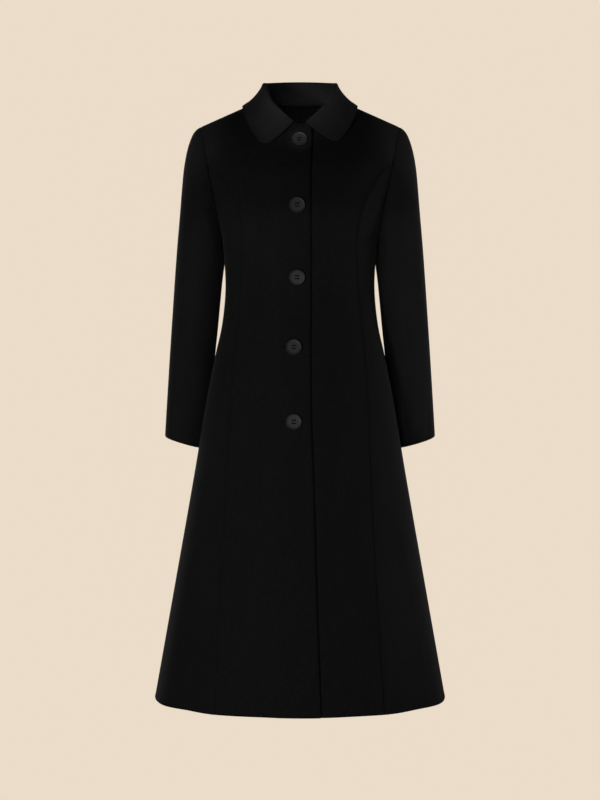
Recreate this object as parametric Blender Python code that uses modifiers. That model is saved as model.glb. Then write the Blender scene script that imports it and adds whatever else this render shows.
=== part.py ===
"""A long, fitted coat with princess seams, a round collar and five buttons.

The coat keeps the hollow form it has when worn. Its frame has +Z up and the front
facing -Y. The origin lies in the middle of the neck hole at the height of the nape,
where the wearer's shoulders carry the coat. +X is the wearer's left.

Every cloth piece is a wall of one thickness, lofted through sections. The sections of
the body are closed rings, rounder than an ellipse, whose sizes come from the table of
levels. Seams, edges and the neckline are lines drawn on those rings.
"""
import math
from collections import namedtuple

import bmesh
import bpy
from mathutils import Matrix, Vector
from mathutils.bvhtree import BVHTree

# Cloth, in metres
CLOTH = 0.0026
COLLAR_CLOTH = 0.0034
SEAM_GAP = 0.0003
CLEARANCE = 0.0005
LEAF_CLEARANCE = 0.0012

# Heights
HEM = -1.122
HIP = -0.530
UNDERARM = -0.248
CHEST = -0.145
NAPE = -0.002
NECK_FRONT = -0.0418

# Shoulder seam: a straight line from the neck to the sleeve
SHOULDER_NECK_X = 0.078
SHOULDER_TIP_X = 0.185
SHOULDER_NECK_Z = 0.0039
SHOULDER_SLOPE = 0.443

# Armhole: an upright oval in a slanting plane
ARMHOLE_LOW_X = 0.1465
ARMHOLE_FRONT = 0.055
ARMHOLE_BACK = 0.057
ARMHOLE_ROUND = 2.1

# Exponents of the curve that each face follows from chest to shoulder
FRONT_ROUND = 1.75
BACK_ROUND = 2.2
NECKLINE_POWER = 2.0

# Body rings: half width, depth in front of and behind the side seam, roundness
Level = namedtuple("Level", "z width front back roundness")
LEVELS = (
    Level(-1.122, 0.2755, 0.2120, 0.2160, 2.05),
    Level(-0.900, 0.2358, 0.1830, 0.1890, 2.08),
    Level(-0.700, 0.2002, 0.1570, 0.1630, 2.12),
    Level(-0.550, 0.1748, 0.1370, 0.1440, 2.16),
    Level(-0.470, 0.1590, 0.1250, 0.1290, 2.18),
    Level(-0.415, 0.1467, 0.1150, 0.1130, 2.20),
    Level(-0.350, 0.1400, 0.1070, 0.0970, 2.20),
    Level(-0.300, 0.1415, 0.1120, 0.0960, 2.20),
    Level(-0.248, 0.1465, 0.1210, 0.1000, 2.20),
    Level(-0.200, 0.1500, 0.1255, 0.1025, 2.20),
    Level(-0.145, 0.1500, 0.1210, 0.1035, 2.20),
    Level(-0.090, 0.1500, 0.1115, 0.1030, 2.20),
    Level(-0.040, 0.1500, 0.1010, 0.0980, 2.20),
    Level(0.040, 0.1500, 0.0900, 0.0900, 2.20),
)

# Lines on the front, as distances from the centre
Edge = namedtuple("Edge", "z x")
FRONT_EDGE = (
    Edge(-1.122, 0.0380),
    Edge(-0.900, 0.0300),
    Edge(-0.700, 0.0245),
    Edge(-0.550, 0.0195),
    Edge(-0.300, 0.0197),
    Edge(-0.120, 0.0192),
    Edge(-0.040, 0.0235),
)
UNDERLAP = 0.024
LAP_GAP = 0.0010

# Where the lapped front starts to ease down to its neighbours, and over what width
Fade = namedtuple("Fade", "start width")
LAP_FADE_RIGHT = Fade(0.032, 0.040)
LAP_FADE_LEFT = Fade(0.045, 0.030)

# The side front's pointed top is blunt: it ends at this share of its last row
POINT_SHARE = 0.95

Seam = namedtuple("Seam", "z x")
RIGHT_PRINCESS = (
    Seam(-1.122, 0.1530),
    Seam(-0.900, 0.1447),
    Seam(-0.750, 0.1370),
    Seam(-0.600, 0.1296),
    Seam(-0.500, 0.1235),
    Seam(-0.420, 0.1150),
    Seam(-0.345, 0.1095),
    Seam(-0.272, 0.1050),
    Seam(-0.236, 0.1063),
    Seam(-0.212, 0.1097),
    Seam(-0.190, 0.1160),
    Seam(-0.171, 0.1242),
    Seam(-0.151, 0.1370),
    Seam(-0.135, 0.1502),
    Seam(-0.121, 0.1704),
)
LEFT_PRINCESS = (
    Seam(-1.122, 0.1530),
    Seam(-0.900, 0.1388),
    Seam(-0.750, 0.1318),
    Seam(-0.600, 0.1265),
    Seam(-0.500, 0.1215),
    Seam(-0.420, 0.1142),
    Seam(-0.345, 0.1066),
    Seam(-0.272, 0.1033),
    Seam(-0.236, 0.1049),
    Seam(-0.212, 0.1086),
    Seam(-0.190, 0.1146),
    Seam(-0.169, 0.1236),
    Seam(-0.149, 0.1355),
    Seam(-0.130, 0.1499),
    Seam(-0.112, 0.1721),
)

# Soft flares of the skirt: where they stand, how wide they are, how deep at the hem
Flare = namedtuple("Flare", "angle spread depth top")
FLARES = (
    Flare(-152, 11, 0.0070, -0.52),
    Flare(-126, 10, -0.0060, -0.60),
    Flare(-106, 9, 0.0035, -0.66),
    Flare(-66, 8, 0.0030, -0.60),
    Flare(-50, 7, -0.0050, -0.50),
    Flare(-36, 8, 0.0030, -0.56),
    Flare(-14, 9, -0.0025, -0.62),
    Flare(20, 9, -0.0022, -0.66),
    Flare(37, 7, 0.0032, -0.52),
    Flare(53, 8, -0.0046, -0.56),
    Flare(70, 9, 0.0028, -0.62),
    Flare(110, 9, 0.0040, -0.62),
    Flare(131, 10, -0.0065, -0.56),
    Flare(157, 10, 0.0060, -0.60),
    Flare(178, 8, -0.0050, -0.50),
)

# Sleeve rings: outermost and innermost point, middle and half depth
Ring = namedtuple("Ring", "outer_x outer_z inner_x inner_z middle depth")
SLEEVE_RINGS = (
    Ring(0.1967, -0.0530, 0.1476, -0.2515, 0.0010, 0.0570),
    Ring(0.2045, -0.0690, 0.1474, -0.2565, 0.0010, 0.0585),
    Ring(0.2112, -0.0920, 0.1470, -0.2640, 0.0015, 0.0600),
    Ring(0.2168, -0.1240, 0.1464, -0.2745, 0.0020, 0.0610),
    Ring(0.2207, -0.1640, 0.1456, -0.2900, 0.0040, 0.0610),
    Ring(0.2248, -0.2120, 0.1455, -0.3110, 0.0070, 0.0600),
    Ring(0.2302, -0.2700, 0.1480, -0.3420, 0.0120, 0.0585),
    Ring(0.2356, -0.3380, 0.1520, -0.3820, 0.0190, 0.0565),
    Ring(0.2409, -0.4080, 0.1567, -0.4300, 0.0270, 0.0540),
    Ring(0.2460, -0.4760, 0.1625, -0.4870, 0.0375, 0.0510),
    Ring(0.2512, -0.5480, 0.1715, -0.5580, 0.0495, 0.0480),
    Ring(0.2570, -0.6310, 0.1835, -0.6520, 0.0630, 0.0460),
)
FRONT_SLEEVE_SEAM = 170
BACK_SLEEVE_SEAM = 262
SLEEVE_ROUND = 2.1
SLEEVE_RADIUS = 0.05
CAP_RINGS = 4
CAP_ROWS = 5

# Collar: ends of its front sections on the leaf's edge, from the centre to the shoulder
Leaf = namedtuple("Leaf", "edge_x edge_z")
LEAF_FRONT = (
    Leaf(0.0485, -0.0670),
    Leaf(0.0550, -0.0722),
    Leaf(0.0620, -0.0738),
    Leaf(0.0690, -0.0718),
    Leaf(0.0755, -0.0660),
    Leaf(0.0835, -0.0560),
    Leaf(0.0910, -0.0450),
    Leaf(0.0975, -0.0330),
    Leaf(0.1026, -0.0215),
    Leaf(0.1055, -0.0135),
)
COLLAR_END_X = 0.0118
LEAF_SHOULDER_X = 0.107
LEAF_BACK_Z = -0.019
LEFT_LEAF_LENGTH = 0.94
LEAF_SWEEP = 2.2
STAND_FOOT = 0.0015
STAND_END = 0.0015
STAND_SIDE = 0.0300
STAND_BACK = 0.0385
STAND_LEAN_CENTRE = 0.15
STAND_LEAN_SIDE = 0.38
FOLD_RADIUS = 0.0028
FOLD_TURNS = (180, 135, 90, 45, 0)
SEAT_START = 0.15
SEAT_PACE = 1.6

# Buttons
BUTTON_RADIUS = 0.0146
BUTTON_THICKNESS = 0.0044
BUTTON_HOLE_RADIUS = 0.0011
BUTTON_HOLE_OFFSET = 0.0023
BUTTON_SIDES = 24
BUTTON_HOLE_SIDES = 6
Turned = namedtuple("Turned", "radius height")
BUTTON_PROFILE = (
    Turned(0.00, 0.66),
    Turned(0.66, 0.66),
    Turned(0.78, 0.97),
    Turned(0.90, 1.00),
    Turned(0.98, 0.78),
    Turned(1.00, 0.50),
    Turned(0.88, 0.00),
    Turned(0.00, 0.00),
)
Button = namedtuple("Button", "x z")
BUTTONS = (
    Button(-0.0011, -0.0718),
    Button(-0.0053, -0.1886),
    Button(-0.0053, -0.3200),
    Button(-0.0114, -0.4503),
    Button(-0.0114, -0.5859),
)

# Finishes: linear colours and roughness
WOOL = (0.0045, 0.0043, 0.0046, 1.0)
COLLAR_WOOL = (0.0055, 0.0052, 0.0055, 1.0)
BUTTON_COLOUR = (0.018, 0.017, 0.019, 1.0)
WOOL_ROUGHNESS = 0.95
BUTTON_ROUGHNESS = 0.4

# Grid counts
COLUMNS_SHOULDER = 5
COLUMNS_SIDE = 8
ROWS_SKIRT = 9
ROWS_WAIST = 8
ROWS_ARMHOLE = 5
ROWS_SHOULDER = 7
SLEEVE_SEGMENTS_UPPER = 18
SLEEVE_SEGMENTS_UNDER = 6
SLEEVE_ROWS = 19
COLLAR_BACK_SECTIONS = 7
COLLAR_LEAF_POINTS = 6

# Small steps and limits of the geometry
STEP = 0.002
TURN = math.radians(1)
SLEEVE_TURN = 2
SLEEVE_STEP = 0.3
INSIDE_DROP = 0.05
SEARCH_ROUNDS = 6
MERGE = 0.00005
SHARP_ANGLE = math.radians(50)

RIGHT, LEFT = -1, 1
Spot = namedtuple("Spot", "at normal")
Station = namedtuple("Station", ("key",) + Ring._fields)


def signed_power(value, exponent):
    return math.copysign(abs(value) ** exponent, value)


def spread(start, end, count):
    """Evenly spaced values from start to end, both included."""
    return [start + (end - start) * i / (count - 1) for i in range(count)]


def mix(a, b, share):
    return a + (b - a) * share


def ease(share):
    share = min(1.0, max(0.0, share))
    return share * share * (3 - 2 * share)


def along(table, column, key, key_column="z"):
    """A column's value at a key, smooth through the rows of a table."""
    keys = [getattr(row, key_column) for row in table]
    values = [getattr(row, column) for row in table]
    last = len(table) - 1
    key = min(max(key, keys[0]), keys[-1])
    i = max(0, min(last - 1, sum(k <= key for k in keys) - 1))

    def slope(j):
        before, after = max(0, j - 1), min(last, j + 1)
        return (values[after] - values[before]) / (keys[after] - keys[before])

    span = keys[i + 1] - keys[i]
    t = (key - keys[i]) / span
    return (
        values[i] * (1 + 2 * t) * (1 - t) ** 2
        + values[i + 1] * t * t * (3 - 2 * t)
        + span * slope(i) * t * (1 - t) ** 2
        - span * slope(i + 1) * t * t * (1 - t)
    )


# The body's outer face


def shoulder_z(x):
    """Height of the shoulder ridge, which is carried round over the neck hole."""
    if abs(x) < SHOULDER_NECK_X:
        rise = (SHOULDER_NECK_X**2 - x * x) / (2 * SHOULDER_NECK_X)
        return SHOULDER_NECK_Z + SHOULDER_SLOPE * rise
    return SHOULDER_NECK_Z - SHOULDER_SLOPE * (abs(x) - SHOULDER_NECK_X)


SHOULDER_TIP_Z = shoulder_z(SHOULDER_TIP_X)


def armhole_x(z):
    """The armhole lies in a plane that slants out towards the shoulder."""
    share = (z - UNDERARM) / (SHOULDER_TIP_Z - UNDERARM)
    return mix(ARMHOLE_LOW_X, SHOULDER_TIP_X, share)


def face_round(is_front):
    return FRONT_ROUND if is_front else BACK_ROUND


def armhole_depth(is_front, z):
    """Distance of the armhole's edge from the side seam's plane at one height."""
    widest = ARMHOLE_FRONT if is_front else ARMHOLE_BACK
    if z >= CHEST:
        power = face_round(is_front)
        share = (z - CHEST) / (SHOULDER_TIP_Z - CHEST)
    else:
        power = ARMHOLE_ROUND
        share = (CHEST - z) / (CHEST - UNDERARM)
    return widest * max(0.0, 1 - share**power) ** (1 / power)


def lean(is_front, x, z):
    """Share of the full depth that is left as a face leans in to the shoulder."""
    if z <= CHEST:
        return 1.0
    power = face_round(is_front)
    share = min(1.0, (z - CHEST) / (shoulder_z(x) - CHEST))
    return max(0.0, 1 - share**power) ** (1 / power)


def full_depth(is_front, z):
    return along(LEVELS, "front" if is_front else "back", z)


def half_width(is_front, z):
    """Half width of a ring. Over the underarm it carries the face to the armhole."""
    if z <= UNDERARM:
        return along(LEVELS, "width", z)
    z = min(z, SHOULDER_TIP_Z - STEP)
    power = along(LEVELS, "roundness", z)
    x = armhole_x(z)
    share = armhole_depth(is_front, z) / (full_depth(is_front, z) * lean(is_front, x, z))
    return x / (1 - share**power) ** (1 / power)


def flare(angle, z):
    """How far the skirt's soft folds stand out of the ring."""
    degrees = math.degrees(angle)
    total = 0.0
    for fold in FLARES:
        away = (degrees - fold.angle + 180) % 360 - 180
        fall = ease((fold.top - z) / (fold.top - HEM))
        total += fold.depth * fall * math.exp(-((away / fold.spread) ** 2))
    return total


def skin(angle, z):
    """A point of the outer face: angle 0 at centre front, positive to the left."""
    is_front = math.cos(angle) >= 0
    power = 2 / along(LEVELS, "roundness", z)
    x = half_width(is_front, z) * signed_power(math.sin(angle), power)
    y = -full_depth(is_front, z) * signed_power(math.cos(angle), power) * lean(is_front, x, z)
    point = Vector((x, y, 0))
    point += point.normalized() * flare(angle, z)
    point.z = z
    return point


def angle_at_x(is_front, x, z):
    """The ring's angle at a signed distance from the centre."""
    power = along(LEVELS, "roundness", z) / 2
    ratio = min(1.0, abs(x) / half_width(is_front, z))
    angle = math.asin(ratio**power)
    if not is_front:
        angle = math.pi - angle
    return math.copysign(angle, x)


def angle_at_depth(is_front, side, depth, z):
    """The ring's angle at a distance from the side seam's plane."""
    power = along(LEVELS, "roundness", z) / 2
    ratio = min(1.0, depth / (full_depth(is_front, z) * lean(is_front, armhole_x(z), z)))
    angle = math.acos(ratio**power)
    if not is_front:
        angle = math.pi - angle
    return side * angle


def shoulder_skin(is_front, x, rise):
    """A point over the chest: rise is 0 at the chest and a right angle on the ridge."""
    power = 2 / face_round(is_front)
    z = CHEST + (shoulder_z(x) - CHEST) * signed_power(math.sin(rise), power)
    roundness = along(LEVELS, "roundness", z)
    ratio = min(1.0, abs(x) / half_width(is_front, z))
    depth = full_depth(is_front, z) * (1 - ratio**roundness) ** (1 / roundness)
    y = depth * signed_power(math.cos(rise), power)
    return Vector((x, -y if is_front else y, z))


def rise_at(is_front, x, z):
    power = face_round(is_front) / 2
    share = min(1.0, max(0.0, (z - CHEST) / (shoulder_z(x) - CHEST)))
    return math.asin(share**power)


def outward(point, across, up):
    """Unit normal from two tangents, turned away from the inside of the coat."""
    normal = across.cross(up).normalized()
    inside = Vector((point.x / 2, 0, point.z - INSIDE_DROP))
    return normal if normal.dot(point - inside) > 0 else -normal


def ring_spot(angle, z):
    across = skin(angle + TURN, z) - skin(angle - TURN, z)
    up = skin(angle, z + STEP) - skin(angle, z - STEP)
    point = skin(angle, z)
    return Spot(point, outward(point, across, up))


def shoulder_spot(is_front, x, rise):
    low, high = max(0.0, rise - TURN), min(math.pi / 2, rise + TURN)
    across = shoulder_skin(is_front, x + STEP, rise) - shoulder_skin(is_front, x - STEP, rise)
    up = shoulder_skin(is_front, x, high) - shoulder_skin(is_front, x, low)
    point = shoulder_skin(is_front, x, rise)
    return Spot(point, outward(point, across, up))


def neckline_z(is_front, x):
    """Height of the neckline at a distance from the centre."""
    low = NECK_FRONT if is_front else NAPE
    share = min(1.0, abs(x) / SHOULDER_NECK_X)
    return mix(low, SHOULDER_NECK_Z, share**NECKLINE_POWER)


# Body pieces, as rows of spots from the hem up


def body_heights():
    skirt = spread(HEM, HIP, ROWS_SKIRT)
    return skirt + spread(HIP, UNDERARM, ROWS_WAIST)[1:]


def armhole_heights(top):
    """Heights from the underarm to a top, closer where the armhole is round."""
    turn = math.acos((CHEST - top) / (CHEST - UNDERARM))
    steps = spread(0, turn, ROWS_ARMHOLE + 1)[1:]
    return [CHEST - (CHEST - UNDERARM) * math.cos(step) for step in steps]


def shoulder_edge(is_front, side, tip_z, share):
    """Distance and rise of the armhole's edge, from a height up to the shoulder."""
    start = rise_at(is_front, armhole_x(tip_z), tip_z)
    rise = mix(start, math.pi / 2, share)
    power = 2 / face_round(is_front)
    x = SHOULDER_TIP_X
    for _ in range(SEARCH_ROUNDS):
        z = CHEST + (shoulder_z(x) - CHEST) * math.sin(rise) ** power
        x = armhole_x(z)
    return side * x, rise


def ridge_rise(is_front, x):
    """The rise that stops half a seam gap short of the ridge."""
    z = shoulder_z(x)
    roundness = along(LEVELS, "roundness", z)
    ratio = min(1.0, abs(x) / half_width(is_front, z))
    depth = full_depth(is_front, z) * (1 - ratio**roundness) ** (1 / roundness)
    return math.acos((SEAM_GAP / 2 / depth) ** (face_round(is_front) / 2))


def neck_places(is_front):
    """Where the collar's sections meet the neckline, as distances from the centre."""
    start = math.asin(COLLAR_END_X / SHOULDER_NECK_X) if is_front else 0.0
    count = len(LEAF_FRONT) if is_front else COLLAR_BACK_SECTIONS
    return [SHOULDER_NECK_X * math.sin(turn) for turn in spread(start, math.pi / 2, count + 1)]


def top_edge(is_front, start_x, side):
    """The neckline and the shoulder seam, as pairs of distance and rise."""
    places = [side * x for x in neck_places(is_front)]
    neckline = [start_x, -places[0], 0.0] + places if is_front else [start_x] + places[1:]
    points = []
    for x in neckline:
        rise = rise_at(is_front, x, neckline_z(is_front, x))
        points.append((x, min(rise, ridge_rise(is_front, x))))
    for x in spread(places[-1], side * SHOULDER_TIP_X, COLUMNS_SHOULDER + 1)[1:]:
        points.append((x, ridge_rise(is_front, x)))
    return points


def shoulder_rows(is_front, side, flat_x, flat_z, top):
    """Rows from a flat row at one height up to the neckline and shoulder seam."""
    rows = []
    last = len(top) - 1
    for share in spread(0, 1, ROWS_SHOULDER + 1)[1:]:
        end_x, end_rise = shoulder_edge(is_front, side, flat_z, share)
        if share == 1:
            end_x, end_rise = top[-1]
        first_x = mix(flat_x[0], top[0][0], share)
        row = []
        for j, (top_x, top_rise) in enumerate(top):
            flat_part = (flat_x[j] - flat_x[0]) / (flat_x[-1] - flat_x[0])
            top_part = (top_x - top[0][0]) / (top[-1][0] - top[0][0])
            x = mix(first_x, end_x, mix(flat_part, top_part, share))
            rise = mix(rise_at(is_front, flat_x[j], flat_z), top_rise, share)
            if j == last:
                rise = end_rise
            row.append(shoulder_spot(is_front, x, rise))
        rows.append(row)
    return rows


def flat_row(start, end, z, columns):
    """Spots at one height, between two angles of the ring."""
    return [ring_spot(angle, z) for angle in spread(start, end, columns + 1)]


def princess(side):
    return RIGHT_PRINCESS if side == RIGHT else LEFT_PRINCESS


def princess_x(side, z):
    x = along(princess(side), "x", z)
    return x if z <= UNDERARM else min(x, armhole_x(z))


def princess_gap(side, z):
    """Half the seam's gap, measured level where the seam runs aslant."""
    slope = (princess_x(side, z) - princess_x(side, z - STEP)) / STEP
    return SEAM_GAP / 2 * math.hypot(1, slope)


def front_rows(side):
    """Centre front, from the front edge to the princess seam and the armhole."""
    tip = princess(side)[-1].z

    def edge_x(z):
        return along(FRONT_EDGE, "x", z) if side == RIGHT else -UNDERLAP

    def ends(z):
        seam = side * (princess_x(side, z) - princess_gap(side, z))
        return angle_at_x(True, edge_x(z), z), angle_at_x(True, seam, z)

    top = top_edge(True, edge_x(NECK_FRONT), side)
    heights = body_heights() + armhole_heights(tip)
    rows = [flat_row(*ends(z), z, len(top) - 1) for z in heights]
    flat_x = [spot.at.x for spot in rows[-1]]
    return rows + shoulder_rows(True, side, flat_x, tip, top)


def side_front_rows(side):
    """Side front, from the princess seam to the side seam, with a pointed top."""
    tip = princess(side)[-1].z
    heights = body_heights() + armhole_heights(tip)
    seam = [princess_x(side, z) for z in heights]
    heights[-1] = mix(heights[-2], tip, POINT_SHARE)
    seam[-1] = mix(seam[-2], seam[-1], POINT_SHARE)
    rows = []
    for z, x in zip(heights, seam):
        start = angle_at_x(True, side * (x + princess_gap(side, z)), z)
        depth = SEAM_GAP / 2 if z <= UNDERARM else armhole_depth(True, z)
        end = angle_at_depth(True, side, depth, z)
        rows.append(flat_row(start, end, z, COLUMNS_SIDE))
    return rows


def back_rows(side):
    """Half back, from the centre back seam to the side seam and the armhole."""
    centre = side * SEAM_GAP / 2
    tip = princess(side)[-1].z
    top = top_edge(False, centre, side)
    rows = []
    for z in body_heights() + armhole_heights(tip):
        depth = SEAM_GAP / 2 if z <= UNDERARM else armhole_depth(False, z)
        start = angle_at_x(False, centre, z)
        end = angle_at_depth(False, side, depth, z)
        rows.append(flat_row(start, end, z, len(top) - 1))
    flat_x = [spot.at.x for spot in rows[-1]]
    return rows + shoulder_rows(False, side, flat_x, tip, top)


def overlap_lift(x):
    """How far the lapped centre front stands out over the underlap."""
    fade = LAP_FADE_RIGHT if x < 0 else LAP_FADE_LEFT
    return (CLOTH + LAP_GAP) * (1 - ease((abs(x) - fade.start) / fade.width))


def lifted(rows):
    return [
        [Spot(spot.at + spot.normal * overlap_lift(spot.at.x), spot.normal) for spot in row]
        for row in rows
    ]


# Sleeves


def ring_curve(outer, inner, middle, depths, rounds, degrees):
    """A point of a sleeve ring: 0 at its outermost point, 90 in front, 180 inside."""
    turn = math.radians(degrees)
    is_front = 0 <= degrees % 360 <= 180
    is_upper = math.cos(turn) >= 0
    power = 2 / rounds[(is_front, is_upper)]
    centre = (outer + inner) / 2
    point = centre + (outer - centre) * signed_power(math.cos(turn), power)
    depth = depths[0] if is_front else depths[1]
    point.y = middle - depth * signed_power(math.sin(turn), power)
    return point


def armhole_ring():
    return Ring(SHOULDER_TIP_X, SHOULDER_TIP_Z, ARMHOLE_LOW_X, UNDERARM, 0, ARMHOLE_FRONT)


def sleeve_point(row, degrees):
    """A point of the sleeve: row 0 is the armhole, the last row is the cuff."""
    rings = (armhole_ring(),) + SLEEVE_RINGS
    keyed = [Station(i, *ring) for i, ring in enumerate(rings)]
    key = row * (len(rings) - 1) / (SLEEVE_ROWS - 1)
    ring = Ring(*(along(keyed, name, key, "key") for name in Ring._fields))
    blend = ease(key / CAP_RINGS)
    back_depth = mix(ARMHOLE_BACK - ARMHOLE_FRONT, 0, blend) + ring.depth
    rounds = {
        (True, True): mix(FRONT_ROUND, SLEEVE_ROUND, blend),
        (False, True): mix(BACK_ROUND, SLEEVE_ROUND, blend),
        (True, False): mix(ARMHOLE_ROUND, SLEEVE_ROUND, blend),
        (False, False): mix(ARMHOLE_ROUND, SLEEVE_ROUND, blend),
    }
    outer = Vector((ring.outer_x + CLEARANCE, 0, ring.outer_z))
    inner = Vector((ring.inner_x + CLEARANCE, 0, ring.inner_z))
    return ring_curve(outer, inner, ring.middle, (ring.depth, back_depth), rounds, degrees)


def sleeve_spot(row, degrees):
    """A spot whose normal starts in the armhole's plane and then follows the sleeve."""
    point = sleeve_point(row, degrees)
    across = sleeve_point(row, degrees + SLEEVE_TURN) - sleeve_point(row, degrees - SLEEVE_TURN)
    down = sleeve_point(min(row + SLEEVE_STEP, SLEEVE_ROWS - 1), degrees)
    down = down - sleeve_point(max(row - SLEEVE_STEP, 0), degrees)
    normal = across.cross(down).normalized()
    centre = (sleeve_point(row, 0) + sleeve_point(row, 180)) / 2
    inward = (point - centre).normalized()
    if normal.dot(inward) < 0:
        normal = -normal
    start = 1 - ease(row / CAP_ROWS)
    return Spot(point, mix(normal, inward, start).normalized())


def sleeve_rows(side, start, end, segments):
    """Part of the sleeve between two seams, as rows from the armhole to the cuff."""
    half_gap = math.degrees(SEAM_GAP / 2 / SLEEVE_RADIUS)
    turns = spread(start + half_gap, end - half_gap, segments + 1)
    rows = []
    for row in range(SLEEVE_ROWS):
        spots = [sleeve_spot(row, turn) for turn in turns]
        rows.append([mirrored(spot, side) for spot in spots])
    return rows


def mirrored(spot, side):
    flip = Vector((side, 1, 1))
    return Spot(spot.at * flip, spot.normal * flip)


# Collar


def collar_section(is_front, side, neck_x, edge_x, edge_z, stand):
    """Middle line of the collar's cloth, from the neck seam over the roll to its edge."""
    neck_rise = min(rise_at(is_front, neck_x, neckline_z(is_front, neck_x)), math.pi / 2)
    edge_rise = rise_at(is_front, edge_x, edge_z)
    seam = shoulder_spot(is_front, side * neck_x, neck_rise)
    near_x, near_rise = neck_x + (edge_x - neck_x) / 10, neck_rise + (edge_rise - neck_rise) / 10
    below = shoulder_spot(is_front, side * near_x, near_rise)
    up = (seam.at - below.at).normalized()
    lapped = overlap_lift(side * neck_x) if is_front else 0.0
    base = seam.at + seam.normal * lapped
    foot = base - seam.normal * CLOTH / 2 + up * SEAM_GAP * 2
    out = Vector((seam.at.x, seam.at.y, 0)).normalized()
    inward_lean = mix(STAND_LEAN_CENTRE, STAND_LEAN_SIDE, out.x**2)
    roll = base + Vector((0, 0, stand)) - out * stand * inward_lean
    points = [foot, foot + up * STAND_FOOT]
    for share in (1 / 3, 2 / 3):
        points.append((foot + up * STAND_FOOT).lerp(roll - out * FOLD_RADIUS, share))
    for turn in map(math.radians, FOLD_TURNS):
        points.append(roll + (out * math.cos(turn) + Vector((0, 0, math.sin(turn)))) * FOLD_RADIUS)
    top = points[-1]
    for share in spread(0, 1, COLLAR_LEAF_POINTS + 1)[1:]:
        x = side * mix(neck_x, edge_x, share)
        spot = shoulder_spot(is_front, x, mix(neck_rise, edge_rise, share))
        lift = COLLAR_CLOTH / 2 + LEAF_CLEARANCE
        if is_front:
            lift += overlap_lift(x)
        on_body = spot.at + spot.normal * lift
        points.append(top.lerp(on_body, ease(SEAT_START + share * SEAT_PACE)))
    return points


def collar_sections():
    """All sections, from the right end round the back to the left end."""
    half = {}
    for side in (RIGHT, LEFT):
        length = LEFT_LEAF_LENGTH if side == LEFT else 1
        sections = []
        for neck_x, leaf in zip(neck_places(True), LEAF_FRONT):
            share = neck_x / SHOULDER_NECK_X
            stand = mix(STAND_END, STAND_SIDE, share)
            sections.append(
                collar_section(True, side, neck_x, leaf.edge_x, leaf.edge_z * length, stand)
            )
        for neck_x in reversed(neck_places(False)):
            share = neck_x / SHOULDER_NECK_X
            edge_x = LEAF_SHOULDER_X * share
            edge_z = mix(LEAF_BACK_Z, shoulder_z(LEAF_SHOULDER_X), share**LEAF_SWEEP)
            stand = mix(STAND_BACK, STAND_SIDE, share**2)
            sections.append(collar_section(False, side, neck_x, edge_x, edge_z, stand))
        half[side] = sections
    return half[RIGHT] + half[LEFT][:-1][::-1]


def grid_spots(rows):
    """Turns a grid of middle points into spots, with normals from the neighbours."""
    spots = []
    for i, row in enumerate(rows):
        before, after = rows[max(0, i - 1)], rows[min(len(rows) - 1, i + 1)]
        line = []
        for j, point in enumerate(row):
            across = after[j] - before[j]
            ahead = row[min(len(row) - 1, j + 1)] - row[max(0, j - 1)]
            line.append(Spot(point, across.cross(ahead).normalized()))
        spots.append(line)
    return spots


# Meshes


def material(name, colour, roughness):
    finish = bpy.data.materials.new(name)
    finish.use_nodes = True
    shader = finish.node_tree.nodes["Principled BSDF"]
    shader.inputs["Base Color"].default_value = colour
    shader.inputs["Roughness"].default_value = roughness
    shader.inputs["Metallic"].default_value = 0.0
    finish.diffuse_color = colour
    return finish


def add_object(name, mesh, colour, roughness, collection):
    """Puts a mesh into a collection as an object with a material of its own."""
    piece = bpy.data.objects.new(name, mesh)
    mesh.materials.append(material(name, colour, roughness))
    collection.objects.link(piece)
    return piece


def wall(name, rows, outer, inner, colour, collection):
    """A closed cloth wall: each face lies a distance from the spots, along their normals."""
    bm = bmesh.new()
    faces = {}
    for key, distance in (("outer", outer), ("inner", inner)):
        faces[key] = [[bm.verts.new(s.at + s.normal * distance) for s in row] for row in rows]
    height, width = len(rows), len(rows[0])
    for i in range(height - 1):
        for j in range(width - 1):
            for grid in faces.values():
                bm.faces.new((grid[i][j], grid[i][j + 1], grid[i + 1][j + 1], grid[i + 1][j]))
    border = [(0, j) for j in range(width)]
    border += [(i, width - 1) for i in range(1, height)]
    border += [(height - 1, j) for j in range(width - 2, -1, -1)]
    border += [(i, 0) for i in range(height - 2, 0, -1)]
    for (i, j), (k, m) in zip(border, border[1:] + border[:1]):
        a, b = faces["outer"][i][j], faces["outer"][k][m]
        c, d = faces["inner"][k][m], faces["inner"][i][j]
        bm.faces.new((a, b, c, d))
    bmesh.ops.recalc_face_normals(bm, faces=bm.faces)
    mesh = bpy.data.meshes.new(name)
    bm.to_mesh(mesh)
    bm.free()
    mesh.shade_smooth()
    mesh.set_sharp_from_angle(angle=SHARP_ANGLE)
    return add_object(name, mesh, colour, WOOL_ROUGHNESS, collection)


def front_outer_spot(x, z):
    """The outer face of the lapped front at a place on the centre line."""
    spot = ring_spot(angle_at_x(True, x, z), z)
    return Spot(spot.at + spot.normal * overlap_lift(x), spot.normal)


def seat_height(cloth, spot, x_axis, y_axis):
    """The cloth's highest rise under a button, over the plane through its centre."""
    mesh = cloth.data
    tree = BVHTree.FromPolygons(
        [vertex.co for vertex in mesh.vertices], [tuple(face.vertices) for face in mesh.polygons]
    )
    heights = []
    for reach in (0, BUTTON_RADIUS / 2, BUTTON_RADIUS):
        for turn in spread(0, 2 * math.pi, BUTTON_SIDES + 1):
            away = (x_axis * math.cos(turn) + y_axis * math.sin(turn)) * reach
            start = spot.at + away + spot.normal * BUTTON_RADIUS
            distance = tree.ray_cast(start, -spot.normal)[3]
            heights.append(BUTTON_RADIUS - distance)
    return max(heights)


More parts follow.
